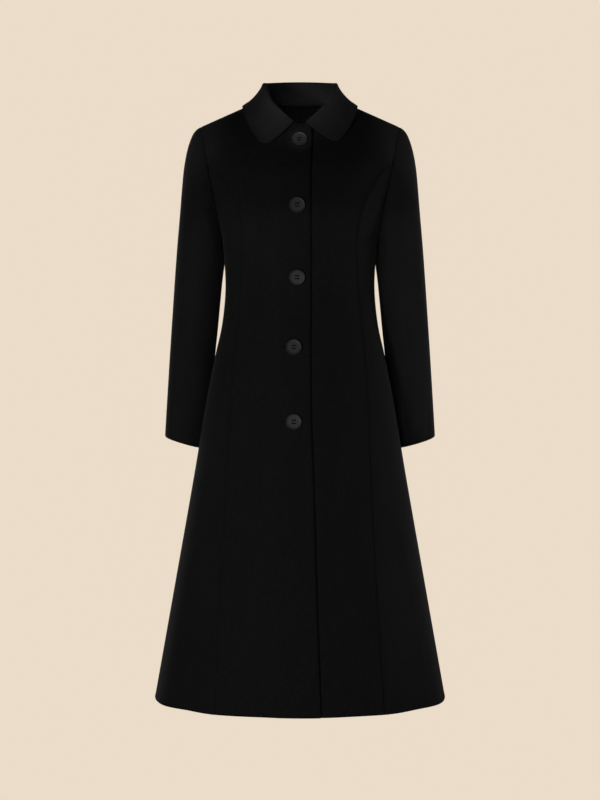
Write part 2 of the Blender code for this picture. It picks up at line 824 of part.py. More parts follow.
def button(name, place, cloth, collection, cutters):
    """A turned disc with a rim, a dished middle and four thread holes."""
    mesh = bpy.data.meshes.new(name)
    edges = [(i, i + 1) for i in range(len(BUTTON_PROFILE) - 1)]
    points = [
        (turned.radius * BUTTON_RADIUS, 0, turned.height * BUTTON_THICKNESS)
        for turned in BUTTON_PROFILE
    ]
    mesh.from_pydata(points, edges, [])
    disc = add_object(name, mesh, BUTTON_COLOUR, BUTTON_ROUGHNESS, collection)
    screw = disc.modifiers.new("turn", "SCREW")
    screw.steps = screw.render_steps = BUTTON_SIDES
    screw.use_merge_vertices = True
    screw.merge_threshold = MERGE
    screw.use_normal_calculate = True

    spot = front_outer_spot(place.x, place.z)
    x_axis = Vector((0, 0, 1)).cross(spot.normal).normalized()
    y_axis = spot.normal.cross(x_axis)
    seat = spot.at + spot.normal * (seat_height(cloth, spot, x_axis, y_axis) + SEAM_GAP)
    turned = Matrix((x_axis, y_axis, spot.normal)).transposed().to_4x4()
    disc.matrix_world = Matrix.Translation(seat) @ turned

    holes = bmesh.new()
    for x in (-BUTTON_HOLE_OFFSET, BUTTON_HOLE_OFFSET):
        for y in (-BUTTON_HOLE_OFFSET, BUTTON_HOLE_OFFSET):
            bmesh.ops.create_cone(
                holes, cap_ends=True, segments=BUTTON_HOLE_SIDES, radius1=BUTTON_HOLE_RADIUS,
                radius2=BUTTON_HOLE_RADIUS, depth=BUTTON_THICKNESS * 3,
                matrix=Matrix.Translation((x, y, 0)),
            )
    cutter_mesh = bpy.data.meshes.new(name + "_holes")
    holes.to_mesh(cutter_mesh)
    holes.free()
    cutter = bpy.data.objects.new(name + "_holes", cutter_mesh)
    cutters.objects.link(cutter)
    cutter.matrix_world = disc.matrix_world
    cutter.hide_render = True
    cutter.display_type = "WIRE"
    cut = disc.modifiers.new("holes", "BOOLEAN")
    cut.operation = "DIFFERENCE"
    cut.object = cutter
    return disc


def build():
    for old in list(bpy.data.objects):
        bpy.data.objects.remove(old, do_unlink=True)
    coat = bpy.data.collections.new("long_coat")
    cutters = bpy.data.collections.new("cutters")
    bpy.context.scene.collection.children.link(coat)
    bpy.context.scene.collection.children.link(cutters)

    lapped = wall("right_front", lifted(front_rows(RIGHT)), 0, -CLOTH, WOOL, coat)
    wall("left_front", front_rows(LEFT), 0, -CLOTH, WOOL, coat)
    for side, name in ((RIGHT, "right"), (LEFT, "left")):
        wall(name + "_side_front", side_front_rows(side), 0, -CLOTH, WOOL, coat)
        wall(name + "_back", back_rows(side), 0, -CLOTH, WOOL, coat)
        upper = sleeve_rows(
            side, BACK_SLEEVE_SEAM - 360, FRONT_SLEEVE_SEAM, SLEEVE_SEGMENTS_UPPER
        )
        under = sleeve_rows(side, FRONT_SLEEVE_SEAM, BACK_SLEEVE_SEAM, SLEEVE_SEGMENTS_UNDER)
        wall(name + "_upper_sleeve", upper, 0, -CLOTH, WOOL, coat)
        wall(name + "_under_sleeve", under, 0, -CLOTH, WOOL, coat)
    half = COLLAR_CLOTH / 2
    wall("collar", grid_spots(collar_sections()), half, -half, COLLAR_WOOL, coat)
    for number, place in enumerate(BUTTONS, start=1):
        button(f"button_{number}", place, lapped, coat, cutters)


build()
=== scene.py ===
# %% [markdown]
# # A long black wool coat
#
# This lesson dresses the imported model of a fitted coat. Each cut piece of cloth is drafted
# again from the same pattern lines, finely enough to show rolled seams, soft edges and the
# slight unevenness of brushed wool. Everything is in metres, with +Z up, the buttoned front
# facing -Y and +X on the wearer's left.

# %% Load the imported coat
import math
from collections import namedtuple
from functools import lru_cache

import bmesh
import bpy
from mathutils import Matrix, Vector


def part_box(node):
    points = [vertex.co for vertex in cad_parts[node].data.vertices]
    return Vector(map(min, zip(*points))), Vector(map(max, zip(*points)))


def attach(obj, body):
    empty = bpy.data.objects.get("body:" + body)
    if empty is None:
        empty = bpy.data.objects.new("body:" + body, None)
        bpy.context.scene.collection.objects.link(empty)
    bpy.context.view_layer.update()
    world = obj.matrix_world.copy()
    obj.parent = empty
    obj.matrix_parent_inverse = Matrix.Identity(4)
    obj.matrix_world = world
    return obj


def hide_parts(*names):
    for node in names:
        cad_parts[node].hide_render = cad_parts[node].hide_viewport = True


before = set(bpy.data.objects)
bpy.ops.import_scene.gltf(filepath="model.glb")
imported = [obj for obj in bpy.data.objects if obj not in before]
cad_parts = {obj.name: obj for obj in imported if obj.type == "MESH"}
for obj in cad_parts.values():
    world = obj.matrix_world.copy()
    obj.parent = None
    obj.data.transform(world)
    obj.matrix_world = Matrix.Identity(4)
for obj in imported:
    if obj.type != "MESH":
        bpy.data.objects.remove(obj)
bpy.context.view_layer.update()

print("nodes:", len(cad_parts))

# %% [markdown]
# ## The pattern's measures
#
# A tailor drafts a coat from girths and heights. Here a girth is a closed ring, rounder than
# an ellipse, and a table holds one ring for each height. Seams are lines drawn on the rings,
# given by their distance from the centre. A smooth curve through a short table is enough for
# each of them, so that a later change of one size stays a change of one number.

# %% Measures of the body
CLOTH, COLLAR_CLOTH = 0.0026, 0.0034
HEM, HIP, UNDERARM, CHEST = -1.122, -0.530, -0.248, -0.145
NAPE, NECK_FRONT = -0.002, -0.0418
SHOULDER_NECK_X, SHOULDER_TIP_X = 0.078, 0.185
SHOULDER_NECK_Z, SHOULDER_SLOPE = 0.0039, 0.443
ARMHOLE_LOW_X, ARMHOLE_FRONT, ARMHOLE_BACK = 0.1465, 0.055, 0.057
FRONT_ROUND, BACK_ROUND, ARMHOLE_ROUND, SLEEVE_ROUND = 1.75, 2.2, 2.1, 2.1
RIGHT, LEFT = -1, 1
SIDES = ((RIGHT, "right"), (LEFT, "left"))


def table(kind, *rows):
    """A table whose rows are all of one kind."""
    return tuple(kind(*row) for row in rows)


Level = namedtuple("Level", "z width front back roundness")
LEVELS = table(
    Level,
    (-1.122, 0.2755, 0.2120, 0.2160, 2.05),
    (-0.900, 0.2358, 0.1830, 0.1890, 2.08),
    (-0.700, 0.2002, 0.1570, 0.1630, 2.12),
    (-0.550, 0.1748, 0.1370, 0.1440, 2.16),
    (-0.470, 0.1590, 0.1250, 0.1290, 2.18),
    (-0.415, 0.1467, 0.1150, 0.1130, 2.20),
    (-0.350, 0.1400, 0.1070, 0.0970, 2.20),
    (-0.300, 0.1415, 0.1120, 0.0960, 2.20),
    (-0.248, 0.1465, 0.1210, 0.1000, 2.20),
    (-0.200, 0.1500, 0.1255, 0.1025, 2.20),
    (-0.145, 0.1500, 0.1210, 0.1035, 2.20),
    (-0.090, 0.1500, 0.1115, 0.1030, 2.20),
    (-0.040, 0.1500, 0.1010, 0.0980, 2.20),
    (0.040, 0.1500, 0.0900, 0.0900, 2.20),
)
print(f"from nape to hem: {NAPE - HEM:.3f} m")

# %% Lines of the front edge and the princess seams
Line = namedtuple("Line", "z x")
FRONT_EDGE = table(
    Line,
    (-1.122, 0.0380), (-0.900, 0.0300), (-0.700, 0.0245), (-0.550, 0.0195),
    (-0.300, 0.0197), (-0.120, 0.0192), (-0.040, 0.0235),
)
UNDERLAP, LAP_GAP = 0.024, 0.0010
RIGHT_PRINCESS = table(
    Line,
    (-1.122, 0.1530), (-0.900, 0.1447), (-0.750, 0.1370), (-0.600, 0.1296),
    (-0.500, 0.1235), (-0.420, 0.1150), (-0.345, 0.1095), (-0.272, 0.1050),
    (-0.236, 0.1063), (-0.212, 0.1097), (-0.190, 0.1160), (-0.171, 0.1242),
    (-0.151, 0.1370), (-0.135, 0.1502), (-0.121, 0.1704),
)
LEFT_PRINCESS = table(
    Line,
    (-1.122, 0.1530), (-0.900, 0.1388), (-0.750, 0.1318), (-0.600, 0.1265),
    (-0.500, 0.1215), (-0.420, 0.1142), (-0.345, 0.1066), (-0.272, 0.1033),
    (-0.236, 0.1049), (-0.212, 0.1086), (-0.190, 0.1146), (-0.169, 0.1236),
    (-0.149, 0.1355), (-0.130, 0.1499), (-0.112, 0.1721),
)

# %% Soft folds of the skirt
Flare = namedtuple("Flare", "angle spread depth top")
FLARES = table(
    Flare,
    (-152, 11, 0.0070, -0.52),
    (-126, 10, -0.0060, -0.60),
    (-106, 9, 0.0035, -0.66),
    (-66, 8, 0.0030, -0.60),
    (-50, 7, -0.0050, -0.50),
    (-36, 8, 0.0030, -0.56),
    (-14, 9, -0.0025, -0.62),
    (20, 9, -0.0022, -0.66),
    (37, 7, 0.0032, -0.52),
    (53, 8, -0.0046, -0.56),
    (70, 9, 0.0028, -0.62),
    (110, 9, 0.0040, -0.62),
    (131, 10, -0.0065, -0.56),
    (157, 10, 0.0060, -0.60),
    (178, 8, -0.0050, -0.50),
)
print("folds in the skirt:", len(FLARES))

# %% Rings of the sleeve
Ring = namedtuple("Ring", "outer_x outer_z inner_x inner_z middle depth")
SLEEVE_RINGS = table(
    Ring,
    (0.1967, -0.0530, 0.1476, -0.2515, 0.0010, 0.0570),
    (0.2045, -0.0690, 0.1474, -0.2565, 0.0010, 0.0585),
    (0.2112, -0.0920, 0.1470, -0.2640, 0.0015, 0.0600),
    (0.2168, -0.1240, 0.1464, -0.2745, 0.0020, 0.0610),
    (0.2207, -0.1640, 0.1456, -0.2900, 0.0040, 0.0610),
    (0.2248, -0.2120, 0.1455, -0.3110, 0.0070, 0.0600),
    (0.2302, -0.2700, 0.1480, -0.3420, 0.0120, 0.0585),
    (0.2356, -0.3380, 0.1520, -0.3820, 0.0190, 0.0565),
    (0.2409, -0.4080, 0.1567, -0.4300, 0.0270, 0.0540),
    (0.2460, -0.4760, 0.1625, -0.4870, 0.0375, 0.0510),
    (0.2512, -0.5480, 0.1715, -0.5580, 0.0495, 0.0480),
    (0.2570, -0.6310, 0.1835, -0.6520, 0.0630, 0.0460),
)
FRONT_SLEEVE_SEAM, BACK_SLEEVE_SEAM = 170, 262

# %% Outline and roll of the collar
Leaf = namedtuple("Leaf", "x z")
COLLAR_LEAF = table(
    Leaf,
    (0.0485, -0.0736), (0.0555, -0.0774), (0.0625, -0.0781), (0.0697, -0.0758),
    (0.0765, -0.0700), (0.0845, -0.0600), (0.0920, -0.0480), (0.0983, -0.0350),
    (0.1028, -0.0225), (0.1052, -0.0138), (0.1062, -0.0085),
)
COLLAR_END_X, LEAF_SHOULDER_X, LEAF_BACK_Z = 0.0118, 0.1062, -0.019
LEFT_LEAF_LENGTH = 0.94
STAND_BACK, INWARD_BACK = 0.0392, 0.15
LEAF_CLEARANCE, LEAF_PUFF, LEAF_EDGE_LIFT, END_BOW = 0.0012, 0.0026, 0.0022, 0.0030

Roll = namedtuple("Roll", "share stand inward radius")
COLLAR_ROLL = table(
    Roll,
    (0.15, 0.0012, 0.0000, 0.0010),
    (0.34, 0.0088, 0.0008, 0.0018),
    (0.53, 0.0142, 0.0018, 0.0024),
    (0.75, 0.0185, 0.0045, 0.0028),
    (1.00, 0.0300, 0.0114, 0.0028),
)

# %% Places of the buttons
Place = namedtuple("Place", "x z")
BUTTON_PLACES = table(
    Place,
    (-0.0011, -0.0718), (-0.0053, -0.1886), (-0.0053, -0.3200), (-0.0114, -0.4503),
    (-0.0114, -0.5859),
)

# %% [markdown]
# ## Curves through the tables
#
# A cubic between two rows, with each row's slope taken from its neighbours, gives a line with
# no corners. The values are remembered, because one height is asked for many times.

# %% Curve helpers
def mix(a, b, share):
    return a + (b - a) * share


def ease(share):
    share = min(1.0, max(0.0, share))
    return share * share * (3 - 2 * share)


def spread(start, end, count):
    """Evenly spaced values from start to end, both included."""
    return [mix(start, end, i / (count - 1)) for i in range(count)]


def signed_power(value, exponent):
    return math.copysign(abs(value) ** exponent, value)


def smooth_line(keys, values):
    """A function that runs smoothly through pairs of key and value."""
    last = len(keys) - 1
    slopes = []
    for j in range(last + 1):
        before, after = max(0, j - 1), min(last, j + 1)
        slopes.append((values[after] - values[before]) / (keys[after] - keys[before]))

    @lru_cache(maxsize=None)
    def value(key):
        key = min(max(key, keys[0]), keys[-1])
        i = max(0, min(last - 1, sum(k <= key for k in keys) - 1))
        width = keys[i + 1] - keys[i]
        t = (key - keys[i]) / width
        return (
            values[i] * (1 + 2 * t) * (1 - t) ** 2
            + values[i + 1] * t * t * (3 - 2 * t)
            + width * slopes[i] * t * (1 - t) ** 2
            - width * slopes[i + 1] * t * t * (1 - t)
        )

    return value


def lines_through(rows, keys=None):
    """A smooth line through each column of a table, by the row's number or by other keys."""
    keys = keys or range(len(rows))
    return {
        name: smooth_line(keys, [getattr(row, name) for row in rows]) for name in rows[0]._fields
    }


def by_height(rows):
    return lines_through(rows, [row.z for row in rows])


# %% Lines of the body
body_lines, front_edge_x = by_height(LEVELS), by_height(FRONT_EDGE)["x"]
ring_width, roundness = body_lines["width"], body_lines["roundness"]
ring_depth = {True: body_lines["front"], False: body_lines["back"]}
PRINCESS = {RIGHT: RIGHT_PRINCESS, LEFT: LEFT_PRINCESS}
princess_lines = {side: by_height(rows)["x"] for side, rows in PRINCESS.items()}
princess_tip = {side: rows[-1].z for side, rows in PRINCESS.items()}
print(f"half width: {ring_width(HIP):.3f} m at the hip, {ring_width(HEM):.3f} m at the hem")

# %% [markdown]
# ## The body's outer face
#
# Up to the underarm the coat is a stack of rings. Over the chest each face leans in along a
# round curve until front and back meet on the shoulder line. A spot is a point of that face
# with its outward normal: every layer of cloth, thread and button is set out from spots.

# %% Shoulder line and armhole
Spot = namedtuple("Spot", "at normal")
TURN, STEP, INSIDE_DROP = math.radians(1), 0.002, 0.05


def rounded(share, power):
    """What is left of a round form's width at a share of its height."""
    return max(0.0, 1 - share**power) ** (1 / power)


def shoulder_z(x):
    """Height of the shoulder line, which is carried round over the neck hole."""
    if abs(x) < SHOULDER_NECK_X:
        rise = (SHOULDER_NECK_X**2 - x * x) / (2 * SHOULDER_NECK_X)
        return SHOULDER_NECK_Z + SHOULDER_SLOPE * rise
    return SHOULDER_NECK_Z - SHOULDER_SLOPE * (abs(x) - SHOULDER_NECK_X)


SHOULDER_TIP_Z = shoulder_z(SHOULDER_TIP_X)


def face_round(is_front):
    return FRONT_ROUND if is_front else BACK_ROUND


def armhole_x(z):
    """The armhole lies in a plane that slants out towards the shoulder."""
    return mix(ARMHOLE_LOW_X, SHOULDER_TIP_X, (z - UNDERARM) / (SHOULDER_TIP_Z - UNDERARM))


def armhole_depth(is_front, z):
    """Distance of the armhole's edge from the side seam's plane."""
    widest = ARMHOLE_FRONT if is_front else ARMHOLE_BACK
    if z >= CHEST:
        power, share = face_round(is_front), (z - CHEST) / (SHOULDER_TIP_Z - CHEST)
    else:
        power, share = ARMHOLE_ROUND, (CHEST - z) / (CHEST - UNDERARM)
    return widest * rounded(share, power)


# %% The skin of the body
def lean(is_front, x, z):
    """Share of the full depth that is left as a face leans in to the shoulder."""
    if z <= CHEST:
        return 1.0
    return rounded(min(1.0, (z - CHEST) / (shoulder_z(x) - CHEST)), face_round(is_front))


@lru_cache(maxsize=None)
def half_width(is_front, z):
    """Half width of a ring. Over the underarm it carries the face to the armhole."""
    if z <= UNDERARM:
        return ring_width(z)
    z = min(z, SHOULDER_TIP_Z - STEP)
    x = armhole_x(z)
    share = armhole_depth(is_front, z) / (ring_depth[is_front](z) * lean(is_front, x, z))
    return x / rounded(share, roundness(z))


def flare(angle, z):
    """How far the skirt's soft folds stand out of the ring."""
    total = 0.0
    for fold in FLARES:
        if z < fold.top:
            away = (math.degrees(angle) - fold.angle + 180) % 360 - 180
            fall = ease((fold.top - z) / (fold.top - HEM))
            total += fold.depth * fall * math.exp(-((away / fold.spread) ** 2))
    return total


def skin(angle, z):
    """A point of the outer face: angle 0 at centre front, positive to the left."""
    is_front = math.cos(angle) >= 0
    power = 2 / roundness(z)
    x = half_width(is_front, z) * signed_power(math.sin(angle), power)
    y = -ring_depth[is_front](z) * signed_power(math.cos(angle), power) * lean(is_front, x, z)
    point = Vector((x, y, 0))
    point += point.normalized() * flare(angle, z)
    point.z = z
    return point


# %% Angles that meet a place on the skin
def angle_at_x(is_front, x, z):
    ratio = min(1.0, abs(x) / half_width(is_front, z))
    angle = math.asin(ratio ** (roundness(z) / 2))
    return math.copysign(angle if is_front else math.pi - angle, x)


def angle_at_depth(is_front, side, depth, z):
    ratio = min(1.0, depth / (ring_depth[is_front](z) * lean(is_front, armhole_x(z), z)))
    angle = math.acos(ratio ** (roundness(z) / 2))
    return side * (angle if is_front else math.pi - angle)


# %% The skin over the shoulders
def shoulder_depth(is_front, x, z):
    ratio = min(1.0, abs(x) / half_width(is_front, z))
    return ring_depth[is_front](z) * rounded(ratio, roundness(z))


def shoulder_skin(is_front, x, rise):
    """A point over the chest: rise is 0 at the chest and a right angle on the ridge."""
    power = 2 / face_round(is_front)
    z = CHEST + (shoulder_z(x) - CHEST) * signed_power(math.sin(rise), power)
    y = shoulder_depth(is_front, x, z) * signed_power(math.cos(rise), power)
    return Vector((x, -y if is_front else y, z))


def rise_at(is_front, x, z):
    share = min(1.0, max(0.0, (z - CHEST) / (shoulder_z(x) - CHEST)))
    return math.asin(share ** (face_round(is_front) / 2))


# %% Spots of the skin
def outward(point, across, up):
    """The normal that points away from the inside of the coat."""
    normal = across.cross(up).normalized()
    inside = Vector((point.x / 2, 0, point.z - INSIDE_DROP))
    return normal if normal.dot(point - inside) > 0 else -normal


def ring_spot(angle, z):
    point = skin(angle, z)
    across = skin(angle + TURN, z) - skin(angle - TURN, z)
    up = skin(angle, z + STEP) - skin(angle, z - STEP)
    return Spot(point, outward(point, across, up))


def shoulder_spot(is_front, x, rise):
    point = shoulder_skin(is_front, x, rise)
    low, high = max(0.0, rise - TURN), min(math.pi / 2, rise + TURN)
    across = shoulder_skin(is_front, x + STEP, rise) - shoulder_skin(is_front, x - STEP, rise)
    up = shoulder_skin(is_front, x, high) - shoulder_skin(is_front, x, low)
    return Spot(point, outward(point, across, up))


def moved(spot, distance):
    """The spot lifted along its normal."""
    return Spot(spot.at + spot.normal * distance, spot.normal)


print("centre front at the hip:", [round(value, 3) for value in ring_spot(0.0, HIP).at])

# %% [markdown]
# ## How cloth behaves at a seam
#
# At a plain seam both pieces dip into a narrow groove. Along the princess seams the centre
# panel is turned over the seam allowance, which gives the round ridge that shows beside the
# groove. Free edges are soft and a little swollen. So the columns of each grid stand close
# together near an edge, and a profile gives the cloth's height at each of these distances.

# %% Seam profiles
EDGE_STEPS = (0.0, 0.0013, 0.0030, 0.0052, 0.0085)
PROFILES = {
    "plain seam": (-0.0008, -0.0002, 0.0, 0.0, 0.0),
    "rolled seam": (-0.0009, 0.0014, 0.0026, 0.0017, 0.0002),
    "curved seam": (-0.0011, 0.0018, 0.0034, 0.0029, 0.0009),
    "armhole": (-0.0007, -0.0002, 0.0, 0.0, 0.0),
    "sleeve head": (-0.0004, 0.0003, 0.0009, 0.0012, 0.0011),
    "edge": (-0.0005, 0.0001, 0.0004, 0.0003, 0.0),
    "front edge": (-0.0006, 0.0005, 0.0010, 0.0007, 0.0),
    "under the lap": (-0.0028, -0.0026, -0.0017, -0.0007, 0.0),
    "none": (0.0, 0.0, 0.0, 0.0, 0.0),
}


def seam_height(kind, distance):
    """Height of the cloth at a distance from an edge of one kind."""
    profile = PROFILES[kind]
    for i in range(len(EDGE_STEPS) - 1):
        if distance <= EDGE_STEPS[i + 1]:
            share = (distance - EDGE_STEPS[i]) / (EDGE_STEPS[i + 1] - EDGE_STEPS[i])
            return mix(profile[i], profile[i + 1], share)
    return profile[-1]


def edge_shares(width, inner):
    """Shares of a width: close together at both ends, even between them."""
    scale = min(1.0, width / (3 * EDGE_STEPS[-1])) / width
    start = [step * scale for step in EDGE_STEPS]
    middle = spread(start[-1], 1 - start[-1], inner + 2)[1:-1]
    return start + middle + [1 - share for share in reversed(start)]


# %% Dress the edges of a panel
Edges = namedtuple("Edges", "first last bottom top")


def dressed(rows, edges_at, creases):
    """Moves the spots of a panel by the profiles of its four edges and by its creases."""
    result = []
    for i, row in enumerate(rows):
        edges = edges_at(i)
        line = []
        for j, spot in enumerate(row):
            moves = [
                seam_height(edges.first, (spot.at - row[0].at).length),
                seam_height(edges.last, (spot.at - row[-1].at).length),
                seam_height(edges.bottom, (spot.at - rows[0][j].at).length),
                seam_height(edges.top, (spot.at - rows[-1][j].at).length),
            ]
            low, high = min(moves), max(moves)
            line.append(moved(spot, (low if low < 0 else high) + drag(spot.at, creases)))
        result.append(line)
    return result


# %% Close the seams
SEAM_REACH = 0.0009


def reached(rows, first=False, last=False, bottom=False, top=False):
    """Draws chosen borders out a little, so that no slit is left along a seam."""
    rows = [list(row) for row in rows]

    def drawn(spot, inner):
        return Spot(spot.at + (spot.at - inner.at).normalized() * SEAM_REACH, spot.normal)

    for row in rows:
        if first:
            row[0] = drawn(row[0], row[1])
        if last:
            row[-1] = drawn(row[-1], row[-2])
    if bottom:
        rows[0] = [drawn(spot, inner) for spot, inner in zip(rows[0], rows[1])]
    if top:
        rows[-1] = [drawn(spot, inner) for spot, inner in zip(rows[-1], rows[-2])]
    return rows


# %% [markdown]
# ## Soft creases
#
# This wool is thick and steamed smooth, so its creases are shallow and wide: a pull from the
# waist, a slight break in front of each armhole and inside each elbow. Each one is a trough
# along a short line, deepest at its middle. They are placed unevenly, and the back
# has a few as well. A negative depth makes a ridge: the spare cloth that hangs in each armpit.

# %% Creases
CREASE_REACH, CREASE_START, CREASE_END = 3, 0.12, 0.88
Crease = namedtuple("Crease", "start end width depth")
BODY_CREASES = table(
    Crease,
    ((-0.137, -0.030, -0.368), (-0.066, -0.098, -0.392), 0.010, 0.0011),
    ((-0.142, -0.020, -0.415), (-0.090, -0.090, -0.424), 0.012, 0.0008),
    ((0.137, -0.030, -0.352), (0.075, -0.095, -0.371), 0.011, 0.0010),
    ((0.143, -0.022, -0.402), (0.084, -0.094, -0.428), 0.010, 0.0009),
    ((-0.149, -0.050, -0.212), (-0.098, -0.104, -0.262), 0.012, 0.0012),
    ((0.149, -0.050, -0.220), (0.104, -0.100, -0.280), 0.011, 0.0011),
    ((-0.136, 0.030, -0.352), (-0.052, 0.092, -0.372), 0.011, 0.0014),
    ((-0.139, 0.026, -0.398), (-0.066, 0.100, -0.414), 0.012, 0.0012),
    ((0.136, 0.030, -0.360), (0.046, 0.094, -0.388), 0.012, 0.0014),
    ((0.141, 0.026, -0.412), (0.078, 0.098, -0.420), 0.010, 0.0010),
    ((-0.150, 0.054, -0.180), (-0.094, 0.098, -0.246), 0.013, 0.0013),
    ((0.150, 0.054, -0.172), (0.100, 0.097, -0.236), 0.012, 0.0013),
)
SLEEVE_CREASES = table(
    Crease,
    ((-0.166, 0.004, -0.338), (-0.196, -0.034, -0.352), 0.011, 0.0016),
    ((-0.170, 0.012, -0.372), (-0.204, -0.026, -0.392), 0.012, 0.0015),
    ((-0.160, -0.020, -0.262), (-0.186, -0.054, -0.236), 0.014, 0.0014),
    ((0.166, 0.004, -0.330), (0.194, -0.036, -0.344), 0.012, 0.0015),
    ((0.171, 0.014, -0.380), (0.206, -0.024, -0.398), 0.011, 0.0016),
    ((0.160, -0.022, -0.258), (0.188, -0.055, -0.228), 0.013, 0.0013),
    ((-0.236, 0.040, -0.392), (-0.206, 0.074, -0.380), 0.014, 0.0014),
    ((0.236, 0.042, -0.400), (0.204, 0.074, -0.372), 0.013, 0.0015),
    ((-0.150, 0.032, -0.222), (-0.150, 0.036, -0.318), 0.016, -0.0092),
    ((0.150, 0.032, -0.222), (0.150, 0.036, -0.318), 0.016, -0.0092),
    ((-0.159, 0.012, -0.448), (-0.163, 0.020, -0.486), 0.017, 0.0022),
    ((0.159, 0.012, -0.448), (0.163, 0.020, -0.486), 0.017, 0.0022),
)


def drag(point, creases):
    """Depth of the creases at a point, as a move along the normal."""
    total = 0.0
    for crease in creases:
        start, end = Vector(crease.start), Vector(crease.end)
        along = end - start
        share = min(1.0, max(0.0, (point - start).dot(along) / along.length_squared))
        away = (point - start - along * share).length / crease.width
        if away < CREASE_REACH:
            swell = math.sin(math.pi * mix(CREASE_START, CREASE_END, share))
            total -= crease.depth * math.exp(-away * away) * swell
    return total


print("creases:", len(BODY_CREASES), "on the body and", len(SLEEVE_CREASES), "on the sleeves")

# %% [markdown]
# ## Rows for the body panels
#
# A panel is a grid of rows from the hem up. Below the princess seam's tip each row is a
# stretch of a ring. Above it the rows turn gradually into the neckline and the shoulder
# seam, and one column runs into the corner between them.

# %% Heights of the rows
SKIRT_ROWS, WAIST_ROWS, ARMHOLE_ROWS, SHOULDER_ROWS = 40, 22, 11, 12
NECK_COLUMNS, SHOULDER_COLUMNS, SIDE_COLUMNS, LAP_COLUMNS = 7, 7, 9, 2


def body_heights():
    start = [HEM + step for step in EDGE_STEPS]
    skirt = spread(start[-1], HIP, SKIRT_ROWS)[1:]
    return start + skirt + spread(HIP, UNDERARM, WAIST_ROWS)[1:]


def panel_heights(side):
    """Heights of a panel's rows, from the hem to the princess seam's tip."""
    armhole = CHEST - UNDERARM
    turns = spread(0, math.acos((CHEST - princess_tip[side]) / armhole), ARMHOLE_ROWS)[1:]
    return body_heights() + [CHEST - armhole * math.cos(turn) for turn in turns]


print("rows from hem to princess tip:", len(panel_heights(RIGHT)))

# %% Rows round the body
def flat_row(start, end, z, inner):
    """Spots at one height, between two angles of the ring."""
    middle = skin((start + end) / 2, z)
    width = (skin(start, z) - middle).length + (skin(end, z) - middle).length
    return [ring_spot(mix(start, end, share), z) for share in edge_shares(width, inner)]


def ring_row(stops, z, total):
    """A row through several angles, with close columns on both sides of each."""
    row = []
    for number, (start, end) in enumerate(zip(stops, stops[1:])):
        row = row[:-1]
        is_last = number == len(stops) - 2
        inner = total - len(row) - 2 * len(EDGE_STEPS) if is_last else LAP_COLUMNS
        row += flat_row(start, end, z, inner)
    return row


# %% Neckline and shoulder seam
OVERLAP = 0.0003


def princess_x(side, z):
    x = princess_lines[side](z)
    return x if z <= UNDERARM else min(x, armhole_x(z))


def neckline_z(is_front, x):
    share = min(1.0, abs(x) / SHOULDER_NECK_X)
    return mix(NECK_FRONT if is_front else NAPE, SHOULDER_NECK_Z, share**2)


def ridge_rise(is_front, x):
    depth = shoulder_depth(is_front, x, shoulder_z(x))
    return math.acos((OVERLAP / depth) ** (face_round(is_front) / 2))


def top_edge(is_front, stops, side):
    """The neckline and the shoulder seam, as pairs of distance and rise."""
    corner, tip = side * SHOULDER_NECK_X, side * SHOULDER_TIP_X
    neck = []
    for start, end in zip(stops, stops[1:]):
        shares = edge_shares(abs(end - start), LAP_COLUMNS)[:-1]
        neck += [mix(start, end, share) for share in shares]
    neck += [stops[-1] + side * step for step in EDGE_STEPS]
    neck += spread(neck[-1], corner, NECK_COLUMNS + 2)[1:]
    shoulder = [tip - side * step for step in reversed(EDGE_STEPS)]
    shoulder = spread(corner, shoulder[0], SHOULDER_COLUMNS + 2)[1:-1] + shoulder
    points = []
    for x in neck:
        rise = rise_at(is_front, x, neckline_z(is_front, x))
        points.append((x, min(rise, ridge_rise(is_front, x))))
    return points + [(x, ridge_rise(is_front, x)) for x in shoulder]


# %% Rows over the shoulder
SHOULDER_SLACK, EDGE_ROUNDS = 0.02, 6


def shoulder_edge(is_front, side, tip_z, share):
    """Distance and rise of the armhole's edge, from a height up to the shoulder."""
    rise = mix(rise_at(is_front, armhole_x(tip_z), tip_z), math.pi / 2, share)
    x = SHOULDER_TIP_X
    for _ in range(EDGE_ROUNDS):
        z = CHEST + (shoulder_z(x) - CHEST) * math.sin(rise) ** (2 / face_round(is_front))
        x = armhole_x(z)
    return side * x, rise


def shoulder_rows(is_front, side, flat, top):
    """Rows from a flat row up to the neckline and the shoulder seam."""
    flat_z = flat[0].at.z
    flat_x = [spot.at.x for spot in flat]
    length = abs(flat_z - NECK_FRONT) + SHOULDER_SLACK
    shares = spread(0, 1 - EDGE_STEPS[-1] / length, SHOULDER_ROWS)[1:]
    shares += [1 - step / length for step in reversed(EDGE_STEPS[:-1])]
    rows = []
    for share in shares:
        end_x, end_rise = shoulder_edge(is_front, side, flat_z, share)
        if share == 1:
            end_x, end_rise = top[-1]
        first_x = mix(flat_x[0], top[0][0], share)
        row = []
        for x0, (x1, rise1) in zip(flat_x, top):
            flat_part = (x0 - flat_x[0]) / (flat_x[-1] - flat_x[0])
            top_part = (x1 - top[0][0]) / (top[-1][0] - top[0][0])
            x = mix(first_x, end_x, mix(flat_part, top_part, share))
            rise = mix(rise_at(is_front, x0, flat_z), rise1, share)
            row.append((x, rise))
        row[-1] = (end_x, end_rise)
        rows.append([shoulder_spot(is_front, x, rise) for x, rise in row])
    return rows


# %% Centre fronts
def sunk(rows, column):
    """Sinks the cloth along one column, where the edge of the lap lies on it."""
    result = []
    for row in rows:
        moves = [seam_height("under the lap", (spot.at - row[column].at).length) for spot in row]
        result.append([moved(spot, move) for spot, move in zip(row, moves)])
    return result


